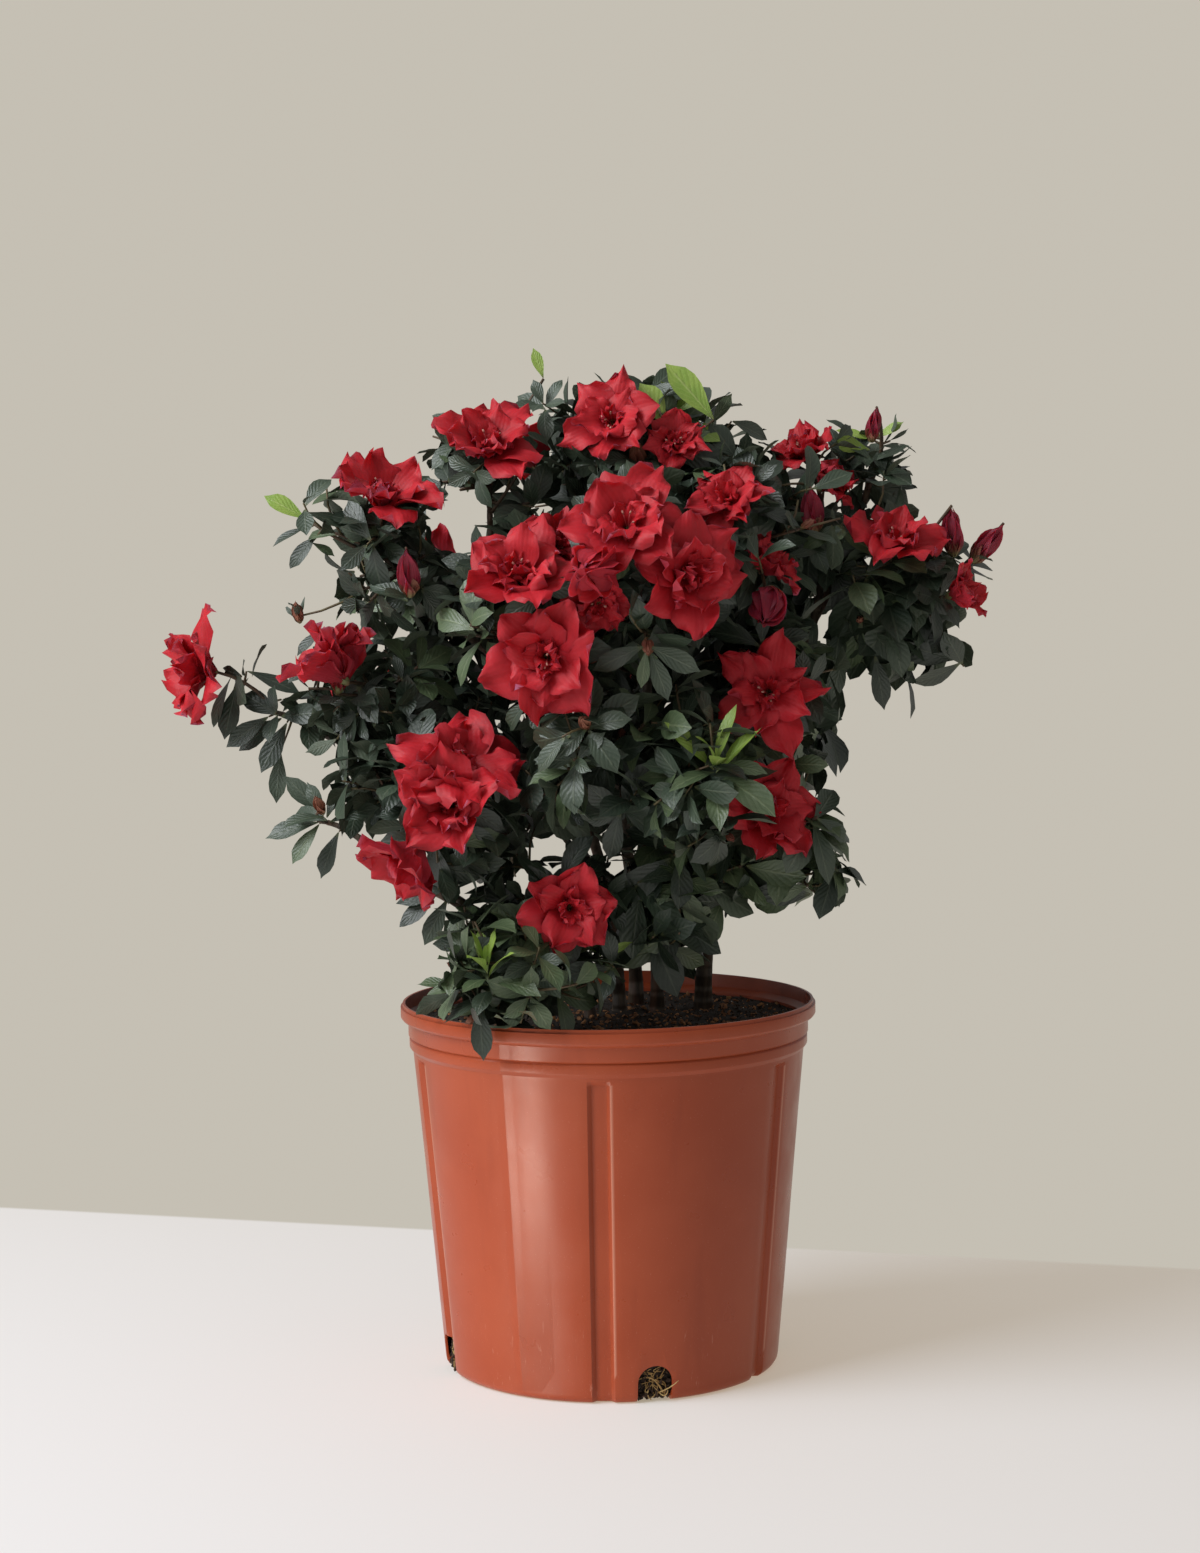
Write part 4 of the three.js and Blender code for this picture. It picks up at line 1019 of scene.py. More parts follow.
for kind, colours in leafColours.items():
    own = leaves["kind"] == kind
    front = makeBlade("leaf" + kind.capitalize(), dict(leafBase, **dict(zip(tones, colours))))
    back = limeBack if kind == "lime" else leafBack
    chosen = {key: leaves[key][own] for key in bladeKeys}
    for piece in joinBlades("leaves_" + kind, leafGrid, chosen, leafLook["thickness"], [front, back]):
        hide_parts(*foliageNodes)

print("stage: twigs")
twigBark = makeGrainy("twigBark", (0.05, 0.032, 0.018), (0.1, 0.058, 0.03), 160, 0.7, 0.5)
youngBark = makeGrainy("youngBark", (0.09, 0.055, 0.028), (0.12, 0.1, 0.04), 120, 0.6, 0.4)
joinTubes("twigs", *zip(*yields["twigs"]), "bark", twigBark, rings=6)
joinTubes("side_twigs", *zip(*yields["sideTwigs"]), "bark", youngBark, rings=4)


# Blooms: broad outer petals, a second ring, ruffled inner petals and a few stamens

bloomLook = {
    "petalOutline": (0.14, 0.36, 0.6, 0.82, 0.96, 1.0, 0.93, 0.74, 0.36), "thickness": 0.5,
    "seed": 8100,
    # the tilt, the sizes and the openings: blooms with no form of their own differ more from each other
    "formed": (0.06, (0.94, 1.04), (0.88, 1.05)), "free": (0.22, (0.74, 1.06), (0.66, 1.06)),
    "rings": {
        "outer": dict(count=(5, 6), length=(39, 47), width=(28, 38), start=(20, 40), end=(70, 118), power=0.7,
                      cup=(-0.2, 0.35), ruffle=(2.2, 5.2), point=(0, 4.5), setBack=0.0),
        "middle": dict(count=(5, 6), length=(30, 39), width=(22, 31), start=(14, 30), end=(44, 92), power=0.8,
                       cup=(-0.15, 0.5), ruffle=(2.2, 4.8), point=(0, 3.5), setBack=1.5),
        "inner": dict(count=(6, 8), length=(15, 28), width=(9, 17), start=(2, 20), end=(8, 74), power=0.9,
                      cup=(-0.1, 0.6), ruffle=(1.5, 3.5), point=(0, 2), setBack=3.0),
    },
    "ball": ((62, 76), (-58, -26), 0.3), "turnJitter": 0.13, "off": 1.4, "fold": (4, 8), "waves": (1.2, 2.8),
    "twist": 0.26, "pleat": (0.2, 1.1), "round": (1.5, 4), "filamentBow": (0.6, 1), "antherStep": (0.9, 1.8),
    "filamentRadius": (0.45, 0.35), "antherRadius": (0.8, 0.6),
    "stamens": (3, 6), "stamenLength": (15, 22), "stamenSpread": (2, 7),
}


def petalRing(rng, throat, axis, size, opening, form, look):
    count = int(rng.integers(look["count"][0], look["count"][1] + 1))
    turns = rng.uniform(*anyPhase) + fullTurn * np.arange(count) / count
    turns = turns + rng.normal(0, bloomLook["turnJitter"], count)
    radial = ring(axis, turns)
    start, end, ruffled = look["start"], look["end"], 1
    if form.get("ball"):
        start, end, ruffled, opening = *bloomLook["ball"], 1
    base = throat + radial * bloomLook["off"] + axis * look["setBack"]
    return perBlade(
        count, base=base, axis=np.tile(axis, (count, 1)), radial=radial,
        length=rng.uniform(*look["length"], count) * size,
        width=rng.uniform(*look["width"], count) * size * form.get("slender", 1),
        start=np.radians(rng.uniform(*start, count)) * opening,
        end=np.radians(rng.uniform(*end, count)) * opening, power=look["power"],
        fold=np.radians(rng.normal(*bloomLook["fold"], count)), cup=rng.uniform(*look["cup"], count),
        ruffle=rng.uniform(*look["ruffle"], count) * size * ruffled,
        waves=rng.uniform(*bloomLook["waves"], count), phase=rng.uniform(*anyPhase, count),
        twist=rng.normal(0, bloomLook["twist"], count), pleat=rng.uniform(*bloomLook["pleat"], count),
        point=rng.uniform(*look["point"], count) + form.get("point", 0),
        round=rng.uniform(*bloomLook["round"], count))


print("stage: blooms")
petals = {name: [] for name in bloomLook["rings"]}
stamens, anthers = [], []
for number, bloom in enumerate(sorted(yields["blooms"], key=lambda bloom: "mass" in bloom["form"])):
    rng = np.random.default_rng(bloomLook["seed"] + number)
    throat, form = bloom["tip"], bloom["form"]
    tilt, sizes, openings = bloomLook["formed" if form else "free"]
    axis = unit(bloom["facing"] + rng.normal(0, tilt, 3))
    size = rng.uniform(*sizes) * form.get("size", 1)
    opening = rng.uniform(*openings) * form.get("opening", 1)
    for name, look in bloomLook["rings"].items():
        petals[name].append(petalRing(rng, throat, axis, size, opening, form, look))
    count = int(rng.integers(*bloomLook["stamens"]))
    for radial in ring(axis, rng.uniform(*anyPhase, count)):
        reach = rng.uniform(*bloomLook["stamenLength"]) * size
        end = throat + axis * reach + radial * rng.uniform(*bloomLook["stamenSpread"])
        ahead, aside = bloomLook["filamentBow"]
        stamens.append([throat, throat + axis * reach * ahead + radial * aside, end])
        first, second = bloomLook["antherStep"]
        anthers.append([end, end + axis * first, end + unit(axis + radial) * second])

petalBase = {
    "patch": 55, "footFade": (0.0, 0.4), "veins": 1, "veinSlant": 9.0, "sideVein": 0.08, "midrib": 0.14,
    "bump": 0.3,
}
softGloss = {
    "Subsurface_Weight": 0.3, "Subsurface_Radius": (0.01, 0.0012, 0.001), "Subsurface_Scale": 0.3,
    "Specular_IOR_Level": 0.27,
}
# The last colour of each ring is its colour at the petals' foot. It darkens from the outer ring to the inner:
# partly the petals' own deeper red, partly painted shade in a bloom's throat
petalColours = {
    "outer": ((0.41, 0.009, 0.016), (0.52, 0.021, 0.032), (0.31, 0.006, 0.014), (0.25, 0.004, 0.011)),
    "middle": ((0.4, 0.009, 0.016), (0.52, 0.021, 0.032), (0.29, 0.006, 0.014), (0.17, 0.003, 0.009)),
    "inner": ((0.41, 0.01, 0.017), (0.54, 0.023, 0.034), (0.27, 0.006, 0.013), (0.08, 0.0012, 0.005)),
    "back": ((0.34, 0.013, 0.026), (0.44, 0.023, 0.038), (0.26, 0.009, 0.02), (0.22, 0.015, 0.02)),
}
petalSkins = {}
for name, colours in petalColours.items():
    look = dict(petalBase, roughness=0.65 if name == "back" else 0.55, sockets=softGloss)
    look.update(zip(tones, colours))
    petalSkins[name] = makeBlade("petal" + name.capitalize(), look)
petalGrid = makeBladeGrid(6, 8, bloomLook["petalOutline"])
for name, rings in petals.items():
    joinBlades("petals_" + name, petalGrid, gather(rings), bloomLook["thickness"],
               [petalSkins[name], petalSkins["back"]])
filament = makeGrainy("filament", (0.36, 0.03, 0.045), (0.45, 0.08, 0.08), 300, 0.5, 0.1)
anther = makeGrainy("anther", (0.4, 0.16, 0.13), (0.52, 0.26, 0.2), 300, 0.6, 0.1)
joinTubes("stamens", stamens, [bloomLook["filamentRadius"]] * len(stamens), "foliage", filament)
joinTubes("anthers", anthers, [bloomLook["antherRadius"]] * len(anthers), "foliage", anther, rings=3)


# Buds: furled crimson petals in brown scales, and the small scaly buds at the ends of twigs

budLook = {
    "outline": (0.35, 0.7, 0.92, 1.0, 0.96, 0.85, 0.66, 0.4, 0.06), "thickness": 0.5, "tilt": 0.06,
    "seed": 9300, "footBelow": 34, "ballBelow": 22, "scalyBelow": 10, "calyxBelow": 1.5,
}
# A ring of a bud: how many petals or scales, their length, width and lean, and how far off the axis they are
budRings = {
    "furled": (5, 32, 14, 19, 0.8), "ball": (9, 38, 21, 56, 0.8), "scales": (6, 17, 11, 28, 1.8),
    "scaly": (6, 31, 14, 26, 0.8), "calyx": (5, 10, 5, 44, 0.8),
}


def budRing(rng, foot, axis, kind, scale=1.0):
    count, length, width, lean, off = budRings[kind]
    radial = ring(axis, rng.uniform(*anyPhase) + goldenAngle * np.arange(count))
    lean = np.radians(lean)
    return perBlade(
        count, base=foot + radial * off * scale, axis=np.tile(axis, (count, 1)), radial=radial,
        length=rng.uniform(0.93, 1.05, count) * length * scale, width=width * scale, start=lean,
        end=-lean * 0.9, power=0.9, fold=0.0, cup=0.75, ruffle=0.15, waves=1.0,
        phase=rng.uniform(*anyPhase, count), twist=0.35, pleat=0.1 * scale, point=2.0 * scale,
        round=2.0 * scale)


print("stage: buds")
rings = {"buds": [], "bud_scales": [], "calyxes": []}
rng = np.random.default_rng(budLook["seed"])
for tip, facing, ball, scale in yields["buds"]:
    axis = unit(facing + rng.normal(0, budLook["tilt"], 3))
    foot = tip - axis * budLook["ballBelow" if ball else "footBelow"] * scale
    rings["buds"].append(budRing(rng, foot, axis, "ball" if ball else "furled", scale))
    rings["bud_scales"].append(budRing(rng, foot, axis, "scales", scale))
for tip, facing, scale in yields["scaleBuds"]:
    axis = unit(facing + rng.normal(0, budLook["tilt"], 3))
    foot = tip - axis * budLook["scalyBelow"] * scale
    rings["bud_scales"] += [budRing(rng, foot, axis, kind, scale) for kind in ("scaly", "scales")]
for bloom in yields["blooms"]:
    foot = bloom["tip"] - bloom["facing"] * budLook["calyxBelow"]
    rings["calyxes"].append(budRing(rng, foot, bloom["facing"], "calyx"))
budSkins = {
    "buds": ("budCrimson", 0.48, softGloss,
             ((0.17, 0.01, 0.025), (0.27, 0.018, 0.04), (0.11, 0.006, 0.016), (0.1, 0.04, 0.02))),
    "bud_scales": ("budScale", 0.6, {},
                   ((0.2, 0.05, 0.034), (0.3, 0.12, 0.068), (0.1, 0.05, 0.03), (0.2, 0.2, 0.08))),
    "calyxes": ("calyx", 0.6, {},
                ((0.12, 0.14, 0.05), (0.2, 0.2, 0.08), (0.1, 0.1, 0.04), (0.2, 0.1, 0.06))),
}
budGrid = makeBladeGrid(4, 8, budLook["outline"])
for name, (title, roughness, sockets, colours) in budSkins.items():
    look = dict(petalBase, roughness=roughness, sockets=sockets, **dict(zip(tones, colours)))
    skin = makeBlade(title, look)
    joinBlades(name, budGrid, gather(rings[name]), budLook["thickness"], [skin, skin])


# Stems and boughs with the bark's relief

barkRelief = {"across": 0.42, "along": 0.09, "depth": 0.34, "knots": 0.06, "knotDepth": 0.5}
# How many sides a stem, a bough and the stem inside a mass have, and the length of their steps
limbShapes = {"stem": (14, 2.6), "bough": (9, 3.2), "heart": (8, 3.4)}
footDepth = 6  # how far a stem's foot goes down into the mix


def growLimb(bm, curve, radii, sides, spacing, flare=0):
    # A limb's first ring is pulled along its curve step by step
    length = np.linalg.norm(np.diff(bezier(curve, np.linspace(0, 1, 30)), axis=0), axis=1).sum()
    shares = np.linspace(0, 1, max(3, int(length / spacing)) + 1)
    spots = alongCurve(curve, shares)
    tangents = unit(np.gradient(spots, axis=0))
    side = unit(np.cross(tangents[0], [1.0, 0.2, 0.1]))
    circle = bmesh.ops.create_circle(bm, cap_ends=True, segments=sides, radius=1)["verts"]
    face = circle[0].link_faces[0]
    corners = [vert.co.copy() for vert in face.verts]
    for step, (share, spot, tangent) in enumerate(zip(shares, spots, tangents)):
        if step:
            moved = bmesh.ops.extrude_face_region(bm, geom=[face])["geom"]
            face = next(part for part in moved if isinstance(part, bmesh.types.BMFace))
        radius = between(radii, share) * (1 + flare * math.exp(-share * wood["flareFade"]))
        side = unit(side - tangent * (side @ tangent))
        third = np.cross(tangent, side)
        for vert, corner in zip(face.verts, corners):
            outward = side * corner.x + third * corner.y
            point = spot + outward * radius
            grain = Vector((*(point[:2] * barkRelief["across"]), point[2] * barkRelief["along"]))
            swell = noise.fractal(grain, 0.9, 2.1, 3) * barkRelief["depth"]
            swell += noise.noise(Vector(point) * barkRelief["knots"]) * barkRelief["knotDepth"]
            vert.co = Vector(spot + outward * (radius + swell))


print("stage: stems and boughs")
bm = bmesh.new()
for limb in limbs:
    curve, flare = limb["curve"], limb["flare"]
    if flare:
        curve = [curve[0] - up * footDepth, *curve[1:]]
    growLimb(bm, curve, limb["radius"], *limbShapes["stem" if flare else "bough"], flare)
for mass in masses:
    ends = (mass["limb"]["radius"][1], wood["heartTipRadius"])
    growLimb(bm, heartCurve(mass), ends, *limbShapes["heart"])
bmesh.ops.recalc_face_normals(bm, faces=bm.faces)
barkMaterial, tree, shader, where = startMaterial("stemBark", Roughness=0.72)
fissured = addNode(tree, "Mapping", {"Vector": where, "Scale": (1, 1, 0.2)}).outputs[0]
streak = addRange(tree, addNoise(tree, fissured, 260, 4), 0.4, 0.66)
colour = addMix(tree, streak, (0.035, 0.024, 0.014), (0.085, 0.06, 0.036))
reddish = addRange(tree, addNoise(tree, fissured, 70, 3), 0.52, 0.7, 0, 0.7)
colour = addMix(tree, reddish, colour, (0.12, 0.045, 0.022))
paint(tree, shader, colour)
addBump(tree, shader, addNoise(tree, fissured, 620, 5), 0.6, 0.0006)
limbNodes = sorted(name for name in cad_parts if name.endswith("_stem") or name.startswith("bough_"))
addPiece("stems_and_boughs", toMesh(bm, "stems_and_boughs"), [barkMaterial], limbNodes)


# The pot: a turned wall with upright channels, a mould seam and arched drain holes

def ribEdges():
    # The columns of vertices at a channel: millimetres aside of its middle, and how deep the wall lies there
    half = pot["ribWidth"] / 2
    floorHalf = half - pot["ribDepth"] * pot["ribSlope"]
    return [(-half, 0), *[(floorHalf * share, 1) for share in (-1, -0.5, 0, 0.5, 1)], (half, 0)]


def potColumns():
    # Every column round the pot: an angle, an offset from it in millimetres, and the depth or height there
    columns = []
    marks = sorted([(angle % 360, "rib") for angle in pot["ribAngles"]]
                   + [(angle % 360, "seam") for angle in pot["seamAngles"]])
    halfSeam = pot["seamWidth"] / 2
    for i, (angle, kind) in enumerate(marks):
        if kind == "rib":
            columns += [(angle, offset, depth, 0) for offset, depth in ribEdges()]
            edge = pot["ribWidth"] / 2
        else:
            columns += [(angle, -halfSeam, 0, 0), (angle, 0, 0, 1), (angle, halfSeam, 0, 0)]
            edge = halfSeam
        after, afterKind = marks[(i + 1) % len(marks)]
        span = (after - angle) % 360
        afterEdge = pot["ribWidth"] / 2 if afterKind == "rib" else halfSeam
        number = max(2, round(span / 60 * pot["columnsBetween"]))
        for k in range(1, number):
            share = k / number
            columns.append((angle + span * share, edge * (1 - share) - afterEdge * share, 0, 0))
    return columns


def wallAt(height):
    base, corner = pot["baseRadius"], pot["baseCorner"]
    return base + (pot["wallTopRadius"] - base) * (height - corner) / (pot["ringBottom"] - corner)


def turned(outline, steps):
    # A closed body turned round the upright axis from pairs of radius and height
    bm = bmesh.new()
    verts = [bm.verts.new((radius, 0, height)) for radius, height in outline]
    edges = [bm.edges.new(pair) for pair in zip(verts, verts[1:])]
    bmesh.ops.spin(bm, geom=verts + edges, cent=(0, 0, 0), axis=(0, 0, 1), angle=fullTurn, steps=steps,
                   use_merge=True)
    bmesh.ops.remove_doubles(bm, verts=bm.verts, dist=1e-3)
    return bm


def makePot():
    rimBottom, bandBottom, ringBottom = pot["rimBottom"], pot["bandBottom"], pot["ringBottom"]
    channelTop = ringBottom - pot["ribTopGap"]
    base, corner, topRadius = pot["baseRadius"], pot["baseCorner"], pot["wallTopRadius"]
    wallHeights = [*pot["wallHeights"], channelTop - pot["ribTopRun"], channelTop]
    outside = [(radius, 0) for radius in pot["underside"]]
    outside += [(base - corner + corner * math.sin(a), corner - corner * math.cos(a))
                for a in np.radians(pot["cornerTurns"])]
    outside += [(wallAt(height), height) for height in wallHeights]
    ringRadius, groove, rim = pot["ringRadius"], pot["ringGroove"], pot["rimRadius"]
    bead, beadBottom = rim - pot["beadSetback"], pot["height"] - pot["beadHeight"]
    outside += [
        (topRadius, ringBottom), (ringRadius - 0.8, ringBottom + pot["stepRise"] * 0.6),
        (ringRadius, ringBottom + pot["stepRise"]), (ringRadius, bandBottom - groove),
        (ringRadius - groove, bandBottom), (pot["bandRadius"], bandBottom + groove),
        (pot["bandRadius"], rimBottom), (rim - 1, rimBottom + pot["stepRise"] * 0.55),
        (rim, rimBottom + pot["stepRise"]), (rim, beadBottom), (bead, beadBottom), (bead, pot["height"]),
    ]
    wall = pot["wall"]
    innerRing = ringRadius - groove - wall
    inside = [
        (bead - wall, pot["height"]), (bead - wall, rimBottom + pot["stepRise"]), (innerRing, rimBottom),
        (innerRing, ringBottom + pot["stepRise"]), (topRadius - wall, ringBottom),
    ]
    inside += [(wallAt(height) - wall, height) for height in reversed(wallHeights)]
    inside += [(base - wall, corner + wall), (base - corner - wall, wall)]
    inside += [(pot["underside"][1], wall), (0, wall)]
    columns = potColumns()
    bm = turned(outside + inside, len(columns))
    # A vertex layer that marks where the pot's colour gets a painted highlight
    wear = bm.verts.layers.float.new("wear")
    for vert in bm.verts:
        radius = math.hypot(vert.co.x, vert.co.y)
        if radius < 1:
            continue
        number = round(math.atan2(vert.co.y, vert.co.x) / fullTurn * len(columns)) % len(columns)
        around, offset, depth, seam = columns[number]
        turn = math.radians(around - 90) + offset / max(radius, pot["underside"][1])
        fade = min(1, max(0, (channelTop - vert.co.z) / pot["ribTopRun"]))
        if radius > base - 1.5 * corner:
            radius -= pot["ribDepth"] * depth * fade
            # The right-hand edge of each channel carries the painted highlight
            vert[wear] = float(offset == pot["ribWidth"] / 2 and corner < vert.co.z < channelTop)
        if vert.co.z > corner:
            radius += pot["seamHeight"] * seam * (radius > wallAt(min(vert.co.z, ringBottom)) - 0.1)
        swell = noise.noise(Vector((math.cos(turn) * 2, math.sin(turn) * 2, vert.co.z * 0.01)))
        radius += pot["unevenness"] * swell
        vert.co = (radius * math.cos(turn), radius * math.sin(turn), vert.co.z)
    bmesh.ops.recalc_face_normals(bm, faces=bm.faces)
    return toMesh(bm, "pot", smooth=False)


def drainCutter():
    bm = bmesh.new()
    for angle in pot["drainAngles"]:
        arch = bmesh.ops.create_circle(bm, cap_ends=True, segments=48, radius=pot["drainRadius"])["verts"]
        face = arch[0].link_faces[0]
        for vert in arch:
            aside, height = vert.co.x, vert.co.y
            vert.co = (aside, 0, height + pot["drainCentre"] if height > -0.01 else -pot["drainCentre"])
        pushed = bmesh.ops.extrude_face_region(bm, geom=[face])["geom"]
        ahead = [part for part in pushed if isinstance(part, bmesh.types.BMVert)]
        bmesh.ops.translate(bm, verts=ahead, vec=(0, pot["drainReach"], 0))
        turn = Matrix.Rotation(math.radians(angle), 4, "Z")
        place = Matrix.Translation((0, -pot["baseRadius"] - pot["drainReach"] / 2, 0))
        bmesh.ops.transform(bm, matrix=turn @ place, verts=arch + ahead)
    bmesh.ops.recalc_face_normals(bm, faces=bm.faces)
    return addObject("drainCutter", toMesh(bm, "drainCutter", smooth=False))


print("stage: pot")
# The scuff colour serves the scuffs near the base, the dust, and the painted highlight on the channels'
# right-hand edges
potLook = {
    "colour": (0.29, 0.049, 0.0155), "faded": (0.325, 0.062, 0.0225), "dull": (0.24, 0.041, 0.0145),
    "scuff": (0.5, 0.22, 0.15), "roughRange": (0.27, 0.38), "grain": 0.15, "specular": 0.3,
}
potPiece = addPiece("pot_shell", makePot(), [makePotPlastic(potLook)], ["pot"])
cutter = drainCutter()
cut = potPiece.modifiers.new("drainHoles", "BOOLEAN")
cut.object, cut.operation, cut.solver = cutter, "DIFFERENCE", "EXACT"
rounding = potPiece.modifiers.new("rounded", "BEVEL")
rounding.width, rounding.segments, rounding.limit_method = pot["edgeRound"] * mm, 2, "ANGLE"
rounding.angle_limit = math.radians(28)
shaped = bpy.data.meshes.new_from_object(potPiece.evaluated_get(bpy.context.evaluated_depsgraph_get()))
potPiece.modifiers.clear()
potPiece.data = shaped
bpy.data.objects.remove(cutter)
potPiece.data.shade_smooth()
potPiece.data.set_sharp_from_angle(angle=math.radians(40))


# Potting mix: an uneven crumbly surface with bits of bark and a few white grains

soil = {
    "seed": 5200, "grain": 2.2, "swell": 1.2, "sunk": 1.5, "outer": 136, "edge": 4, "steps": 160, "rings": 46,
    "wallGap": 3.4, "cornerGap": 3.6, "holeDepth": (2.5, 10), "holeHalf": 10.5, "holeFoot": 2.2,
    "holeRise": 20,
}
# Lumps strewn over the mix: how many, their sizes and how flat they lie
strewn = {
    "soil_crumbs": (3600, (0.9, 3.4), 0.4), "soil_bark_bits": (1300, (1.4, 5.5), 1.2),
    "soil_white_grains": (90, (0.7, 1.6), 0.3), "soil_at_holes": (1100, (2.8, 3.4), 0),
}


def soilHeight(x, y):
    rough = noise.fractal(Vector((x * 0.07, y * 0.07, 3.0)), 0.8, 2.2, 4) * soil["grain"]
    swell = soil["swell"] * noise.noise(Vector((x * 0.015, y * 0.015, 9.0)))
    return wood["soilLevel"] - soil["sunk"] + rough + swell


def makeSoil():
    gap = pot["wall"] + wood["fit"]
    side = pot["ringRadius"] - pot["ringGroove"] - gap
    outline = [(0, gap), (pot["underside"][1], gap),
               (pot["baseRadius"] - pot["baseCorner"] - gap - soil["wallGap"], gap),
               (pot["baseRadius"] - gap - soil["cornerGap"], pot["baseCorner"] + gap),
               (pot["wallTopRadius"] - gap - soil["wallGap"], pot["ringBottom"] - 6),
               (side, pot["ringBottom"] + pot["stepRise"] + 1), (side, wood["soilLevel"] - 1)]
    outline += [(side * share, wood["soilLevel"]) for share in np.linspace(1, 0, soil["rings"])[1:]]
    bm = turned(outline, soil["steps"])
    for vert in bm.verts:
        if vert.co.z > wood["soilLevel"] - 0.5:
            vert.co.z = soilHeight(vert.co.x, vert.co.y)
    bmesh.ops.recalc_face_normals(bm, faces=bm.faces)
    return toMesh(bm, "soil")


def onSoil(rng, count):
    out = soil["outer"] * np.sqrt(rng.random(count)) - soil["edge"]
    angle = rng.uniform(0, fullTurn, count)
    x, y = out * np.cos(angle), out * np.sin(angle)
    return np.stack([x, y, [soilHeight(a, b) for a, b in zip(x, y)]], axis=1)


def inDrainHoles(rng, count):
    turns = np.radians(rng.choice(pot["drainAngles"], count))
    out = np.stack([np.sin(turns), -np.cos(turns), 0 * turns], axis=1)
    inward = pot["baseRadius"] - rng.uniform(*soil["holeDepth"], count)
    aside = rng.uniform(-soil["holeHalf"], soil["holeHalf"], count)
    rise = soil["holeFoot"] + soil["holeRise"] * rng.random(count) ** 1.7
    return out * inward[:, None] + np.cross(up, out) * aside[:, None] + up * rise[:, None]


def scatter(name, seed, material, spotsFor=onSoil):
    # Small lumps strewn over the mix, each from the same few faces, stretched and turned at random
    count, sizes, flat = strewn[name]
    bm = bmesh.new()
    bmesh.ops.create_icosphere(bm, subdivisions=1, radius=1)
    bm.verts.index_update()
    lump = np.array([vert.co for vert in bm.verts])
    faces = np.array([[vert.index for vert in face.verts] for face in bm.faces])
    bm.free()
    rng = np.random.default_rng(seed)
    places = spotsFor(rng, count)
    size = between(sizes, rng.random(count) ** 2.4)
    axes = unit(rng.normal(0, 1, (count, 3)) + up * flat)
    sides = unit(np.cross(axes, rng.normal(0, 1, (count, 3))))
    thirds = np.cross(axes, sides)
    stretch = rng.uniform((0.25, 0.5, 0.8), (0.55, 0.9, 1.3), (count, 3)) * size[:, None] / 2
    local = lump[None] * rng.uniform(0.7, 1.2, (count, len(lump), 1)) * stretch[:, None]
    x, y, z = local[..., :1], local[..., 1:2], local[..., 2:]
    spots = x * axes[:, None] + y * sides[:, None] + z * thirds[:, None]
    spots = spots + (places + up * size[:, None] * 0.12)[:, None]
    allFaces = faces[None] + (np.arange(count) * len(lump))[:, None, None]
    mesh = fromArrays(name, spots.reshape(-1, 3), allFaces.reshape(-1, 3))
    mesh.shade_flat()
    return addPiece(name, mesh, [material])


print("stage: potting mix")
darkMix = makeGrainy("darkMix", (0.012, 0.008, 0.005), (0.035, 0.022, 0.014), 420, 0.95, 1.0)
crumbMix = makeGrainy("crumbMix", (0.018, 0.011, 0.007), (0.075, 0.042, 0.024), 300, 0.92, 0.8)
chipBark = makeGrainy("chipBark", (0.16, 0.06, 0.022), (0.42, 0.2, 0.08), 90, 0.85, 0.6)
whiteGrain = makeGrainy("whiteGrain", (0.62, 0.6, 0.54), (0.5, 0.46, 0.4), 200, 0.9, 0.3)
addPiece("soil", makeSoil(), [darkMix], ["potting_mix"])
scatter("soil_crumbs", soil["seed"], crumbMix)
scatter("soil_bark_bits", soil["seed"] + 1, chipBark)
scatter("soil_white_grains", soil["seed"] + 2, whiteGrain)
scatter("soil_at_holes", soil["seed"] + 3, crumbMix, inDrainHoles)

roots = {
    "seed": 6100, "atHole": 15, "aside": 11, "rise": (1.2, 24), "depth": (2.6, 6), "bow": 1.5,
    "radius": (0.25, 0.7), "taper": 0.7, "strayDepth": 5,
    # the two that poke out at the front hole: their radii, and each corner's way ahead, aside and up
    "strays": {(0.55, 0.25): [(0, 2, 5), (9, 8, 9), (7, 15, 14)],
               (0.5, 0.3): [(0, 3, 6), (8, 6, 2), (6.5, 8, 8)]},
}


def makeRoots():
    # Thin pale roots that fill the drain holes
    rng = np.random.default_rng(roots["seed"])
    runs, radii = [], []

    def place(out, side):
        return (side * rng.uniform(-roots["aside"], roots["aside"]) + up * rng.uniform(*roots["rise"])
                + out * (pot["baseRadius"] - rng.uniform(*roots["depth"])))

    for angle in pot["drainAngles"]:
        out = heading((angle, 0))
        side = np.cross(up, out)
        for k in range(roots["atHole"]):
            runs.append([place(out, side), place(out, side) + out * roots["bow"], place(out, side)])
            thick = rng.uniform(*roots["radius"])
            radii.append((thick, thick * roots["taper"]))
    out = heading((pot["drainAngles"][0], 0))
    side, foot = np.cross(up, out), out * (pot["baseRadius"] - roots["strayDepth"])
    for radius, corners in roots["strays"].items():
        runs.append([foot + out * ahead + side * aside + up * rise for ahead, aside, rise in corners])
        radii.append(radius)
    return runs, radii


straw = makeGrainy("strawRoot", (0.36, 0.21, 0.07), (0.58, 0.41, 0.17), 260, 0.8, 0.3)
joinTubes("roots", *makeRoots(), "potting_mix", straw, rings=9)


# Floor, light and camera

print("stage: floor, light and camera")
stageLook = {
    "radius": 6.0, "edgeNormal": (0.266, 0.964, 0), "near": 0.333, "far": 0.342, "colour": (0.47, 0.5, 0.56),
    "glow": (0.358, 0.3, 0.221), "backdrop": (0.56, 0.525, 0.455), "ambient": (0.32, 0.313, 0.305),
}
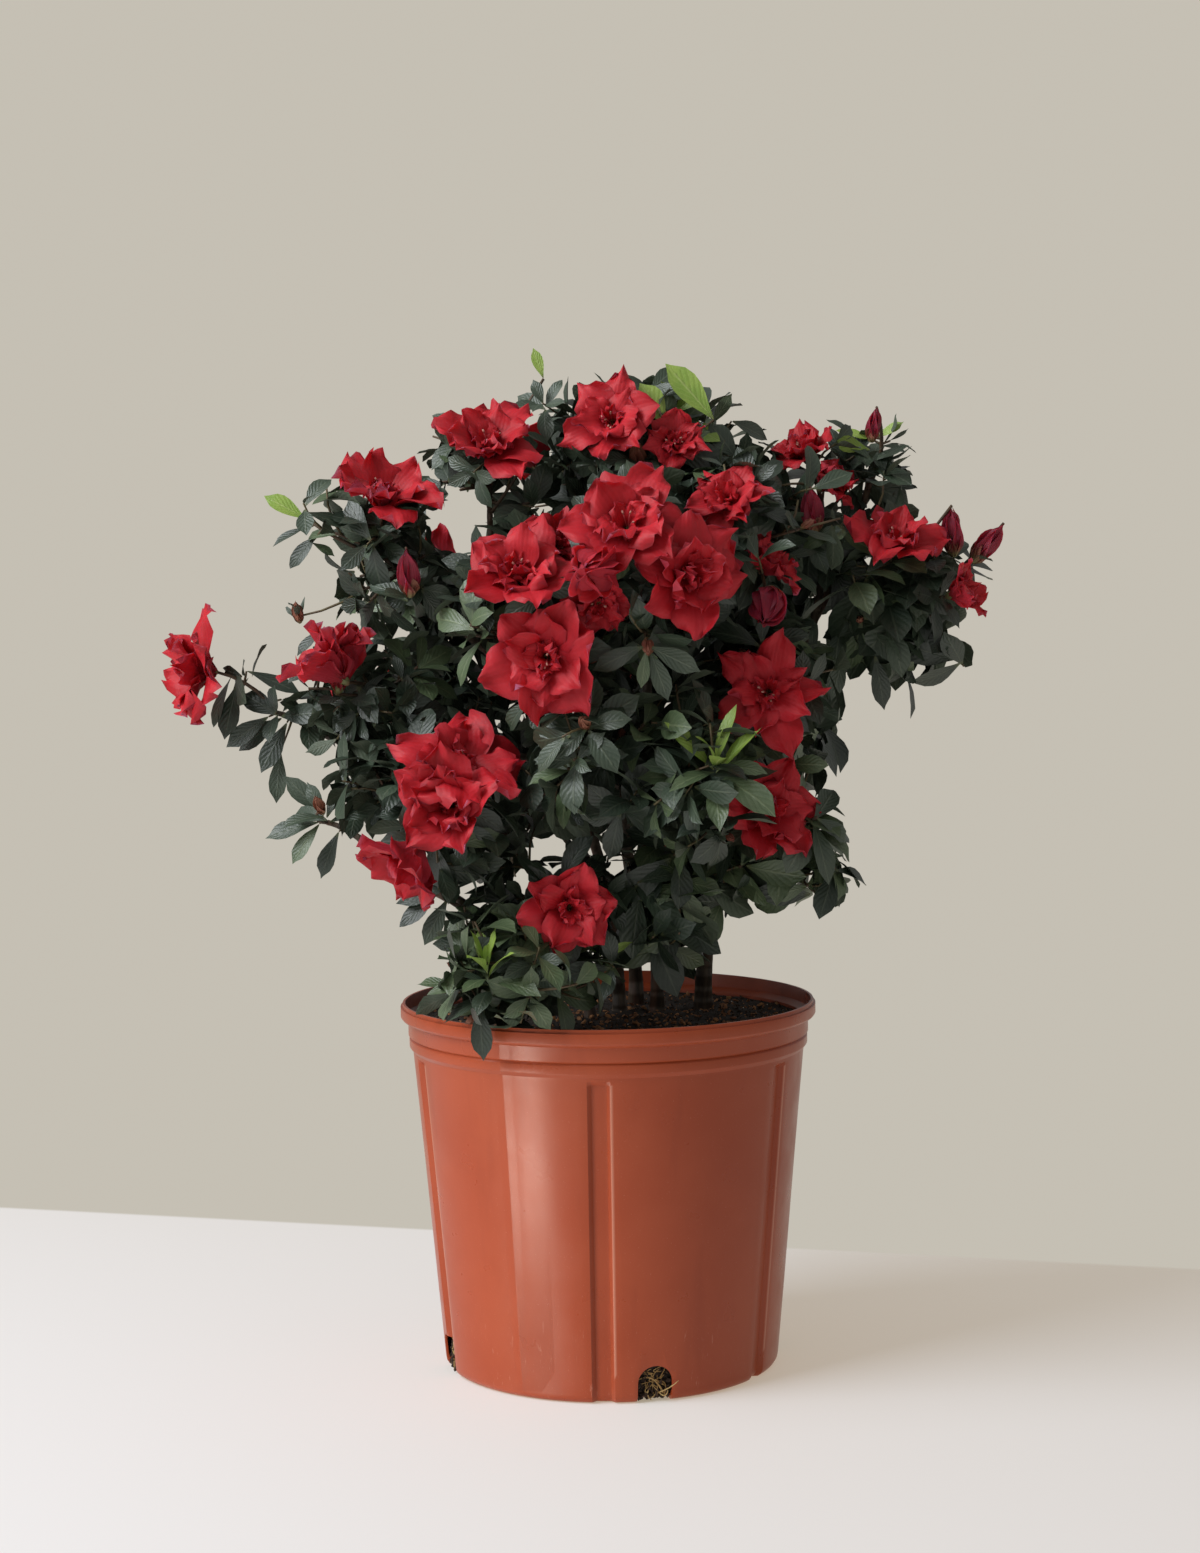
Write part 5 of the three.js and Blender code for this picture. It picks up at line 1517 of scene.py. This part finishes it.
# The window and its pane only make the pale upright reflection on the pot's wall
reflected = dict(round=-41, distance=0.39, size=(0.1, 0.31), aim=0.16)
lights = {
    "key": dict(round=-62, above=40, distance=2.3, size=(1.4, 1.6), aim=0.33, watts=60,
                colour=(0.94, 0.965, 1)),
    "window": dict(reflected, above=-24, watts=0.55, colour=(1, 0.86, 0.76)),
    "pane": dict(reflected, above=-27, watts=0.58, colour=(1, 0.95, 0.82)),
}
bm = bmesh.new()
bmesh.ops.create_circle(bm, cap_ends=True, segments=96, radius=stageLook["radius"] / mm)
floorMesh = toMesh(bm, "floor")
floorMaterial, tree, shader, where = startMaterial("paleFloor", Roughness=0.75)
acrossEdge = addNode(tree, "VectorMath", {0: where, 1: stageLook["edgeNormal"]}, operation="DOT_PRODUCT")
away = addRange(tree, acrossEdge.outputs["Value"], stageLook["near"], stageLook["far"])
shader.inputs["Base Color"].default_value = (*stageLook["colour"], 1)
shader.inputs["Emission Color"].default_value = (*stageLook["glow"], 1)
shader.inputs["Emission Strength"].default_value = 1
glow = addNode(tree, "Emission", {"Color": (*stageLook["backdrop"], 1)}).outputs[0]
blended = addNode(tree, "MixShader", {"Fac": away})
tree.links.new(shader.outputs[0], blended.inputs[1])
tree.links.new(glow, blended.inputs[2])
tree.links.new(blended.outputs[0], tree.nodes["Material Output"].inputs["Surface"])
floorMesh.materials.append(floorMaterial)
addObject("floor", floorMesh)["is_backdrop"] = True

world = bpy.data.worlds.new("studio")
world.use_nodes = True
sky = world.node_tree.nodes["Background"]
seen = addNode(world.node_tree, "LightPath").outputs["Is Camera Ray"]
tone = addMix(world.node_tree, seen, stageLook["ambient"], stageLook["backdrop"])
world.node_tree.links.new(tone, sky.inputs["Color"])
bpy.context.scene.world = world
bpy.context.scene.view_settings.view_transform = "Standard"

potOnly = bpy.data.collections.new("potOnly")
potOnly.objects.link(potPiece)
for name, light in lights.items():
    target = Vector((0, 0, light["aim"]))
    lamp = bpy.data.lights.new(name, "AREA")
    lamp.shape, lamp.size, lamp.size_y = "RECTANGLE", *light["size"]
    lamp.energy, lamp.color = light["watts"], light["colour"]
    holder = addObject(name, lamp)
    holder.location = target + Vector(heading((light["round"], light["above"]))) * light["distance"]
    holder.visible_camera = False
    holder.visible_diffuse = name != "pane"
    if name != "key":
        holder.light_linking.receiver_collection = potOnly
        holder.light_linking.blocker_collection = potOnly
    holder.rotation_euler = (target - holder.location).to_track_quat("-Z", "Y").to_euler()

lens = bpy.data.cameras.new("camera")
lens.sensor_width = camera["sensor"]
lens.lens = camera["focalPixels"] / camera["imageHeight"] * camera["sensor"]
viewer = addObject("camera", lens)
pitched = Matrix.Rotation(math.radians(90 + camera["pitch"]), 4, "X")
rolled = Matrix.Rotation(math.radians(camera["roll"]), 4, "Z")
viewer.matrix_world = Matrix.Translation(Vector(camera["place"]) * mm) @ pitched @ rolled
bpy.context.scene.camera = viewer

sizes = {"cad": [list(corner) for corner in cadBox], "visual": [list(corner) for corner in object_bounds()]}
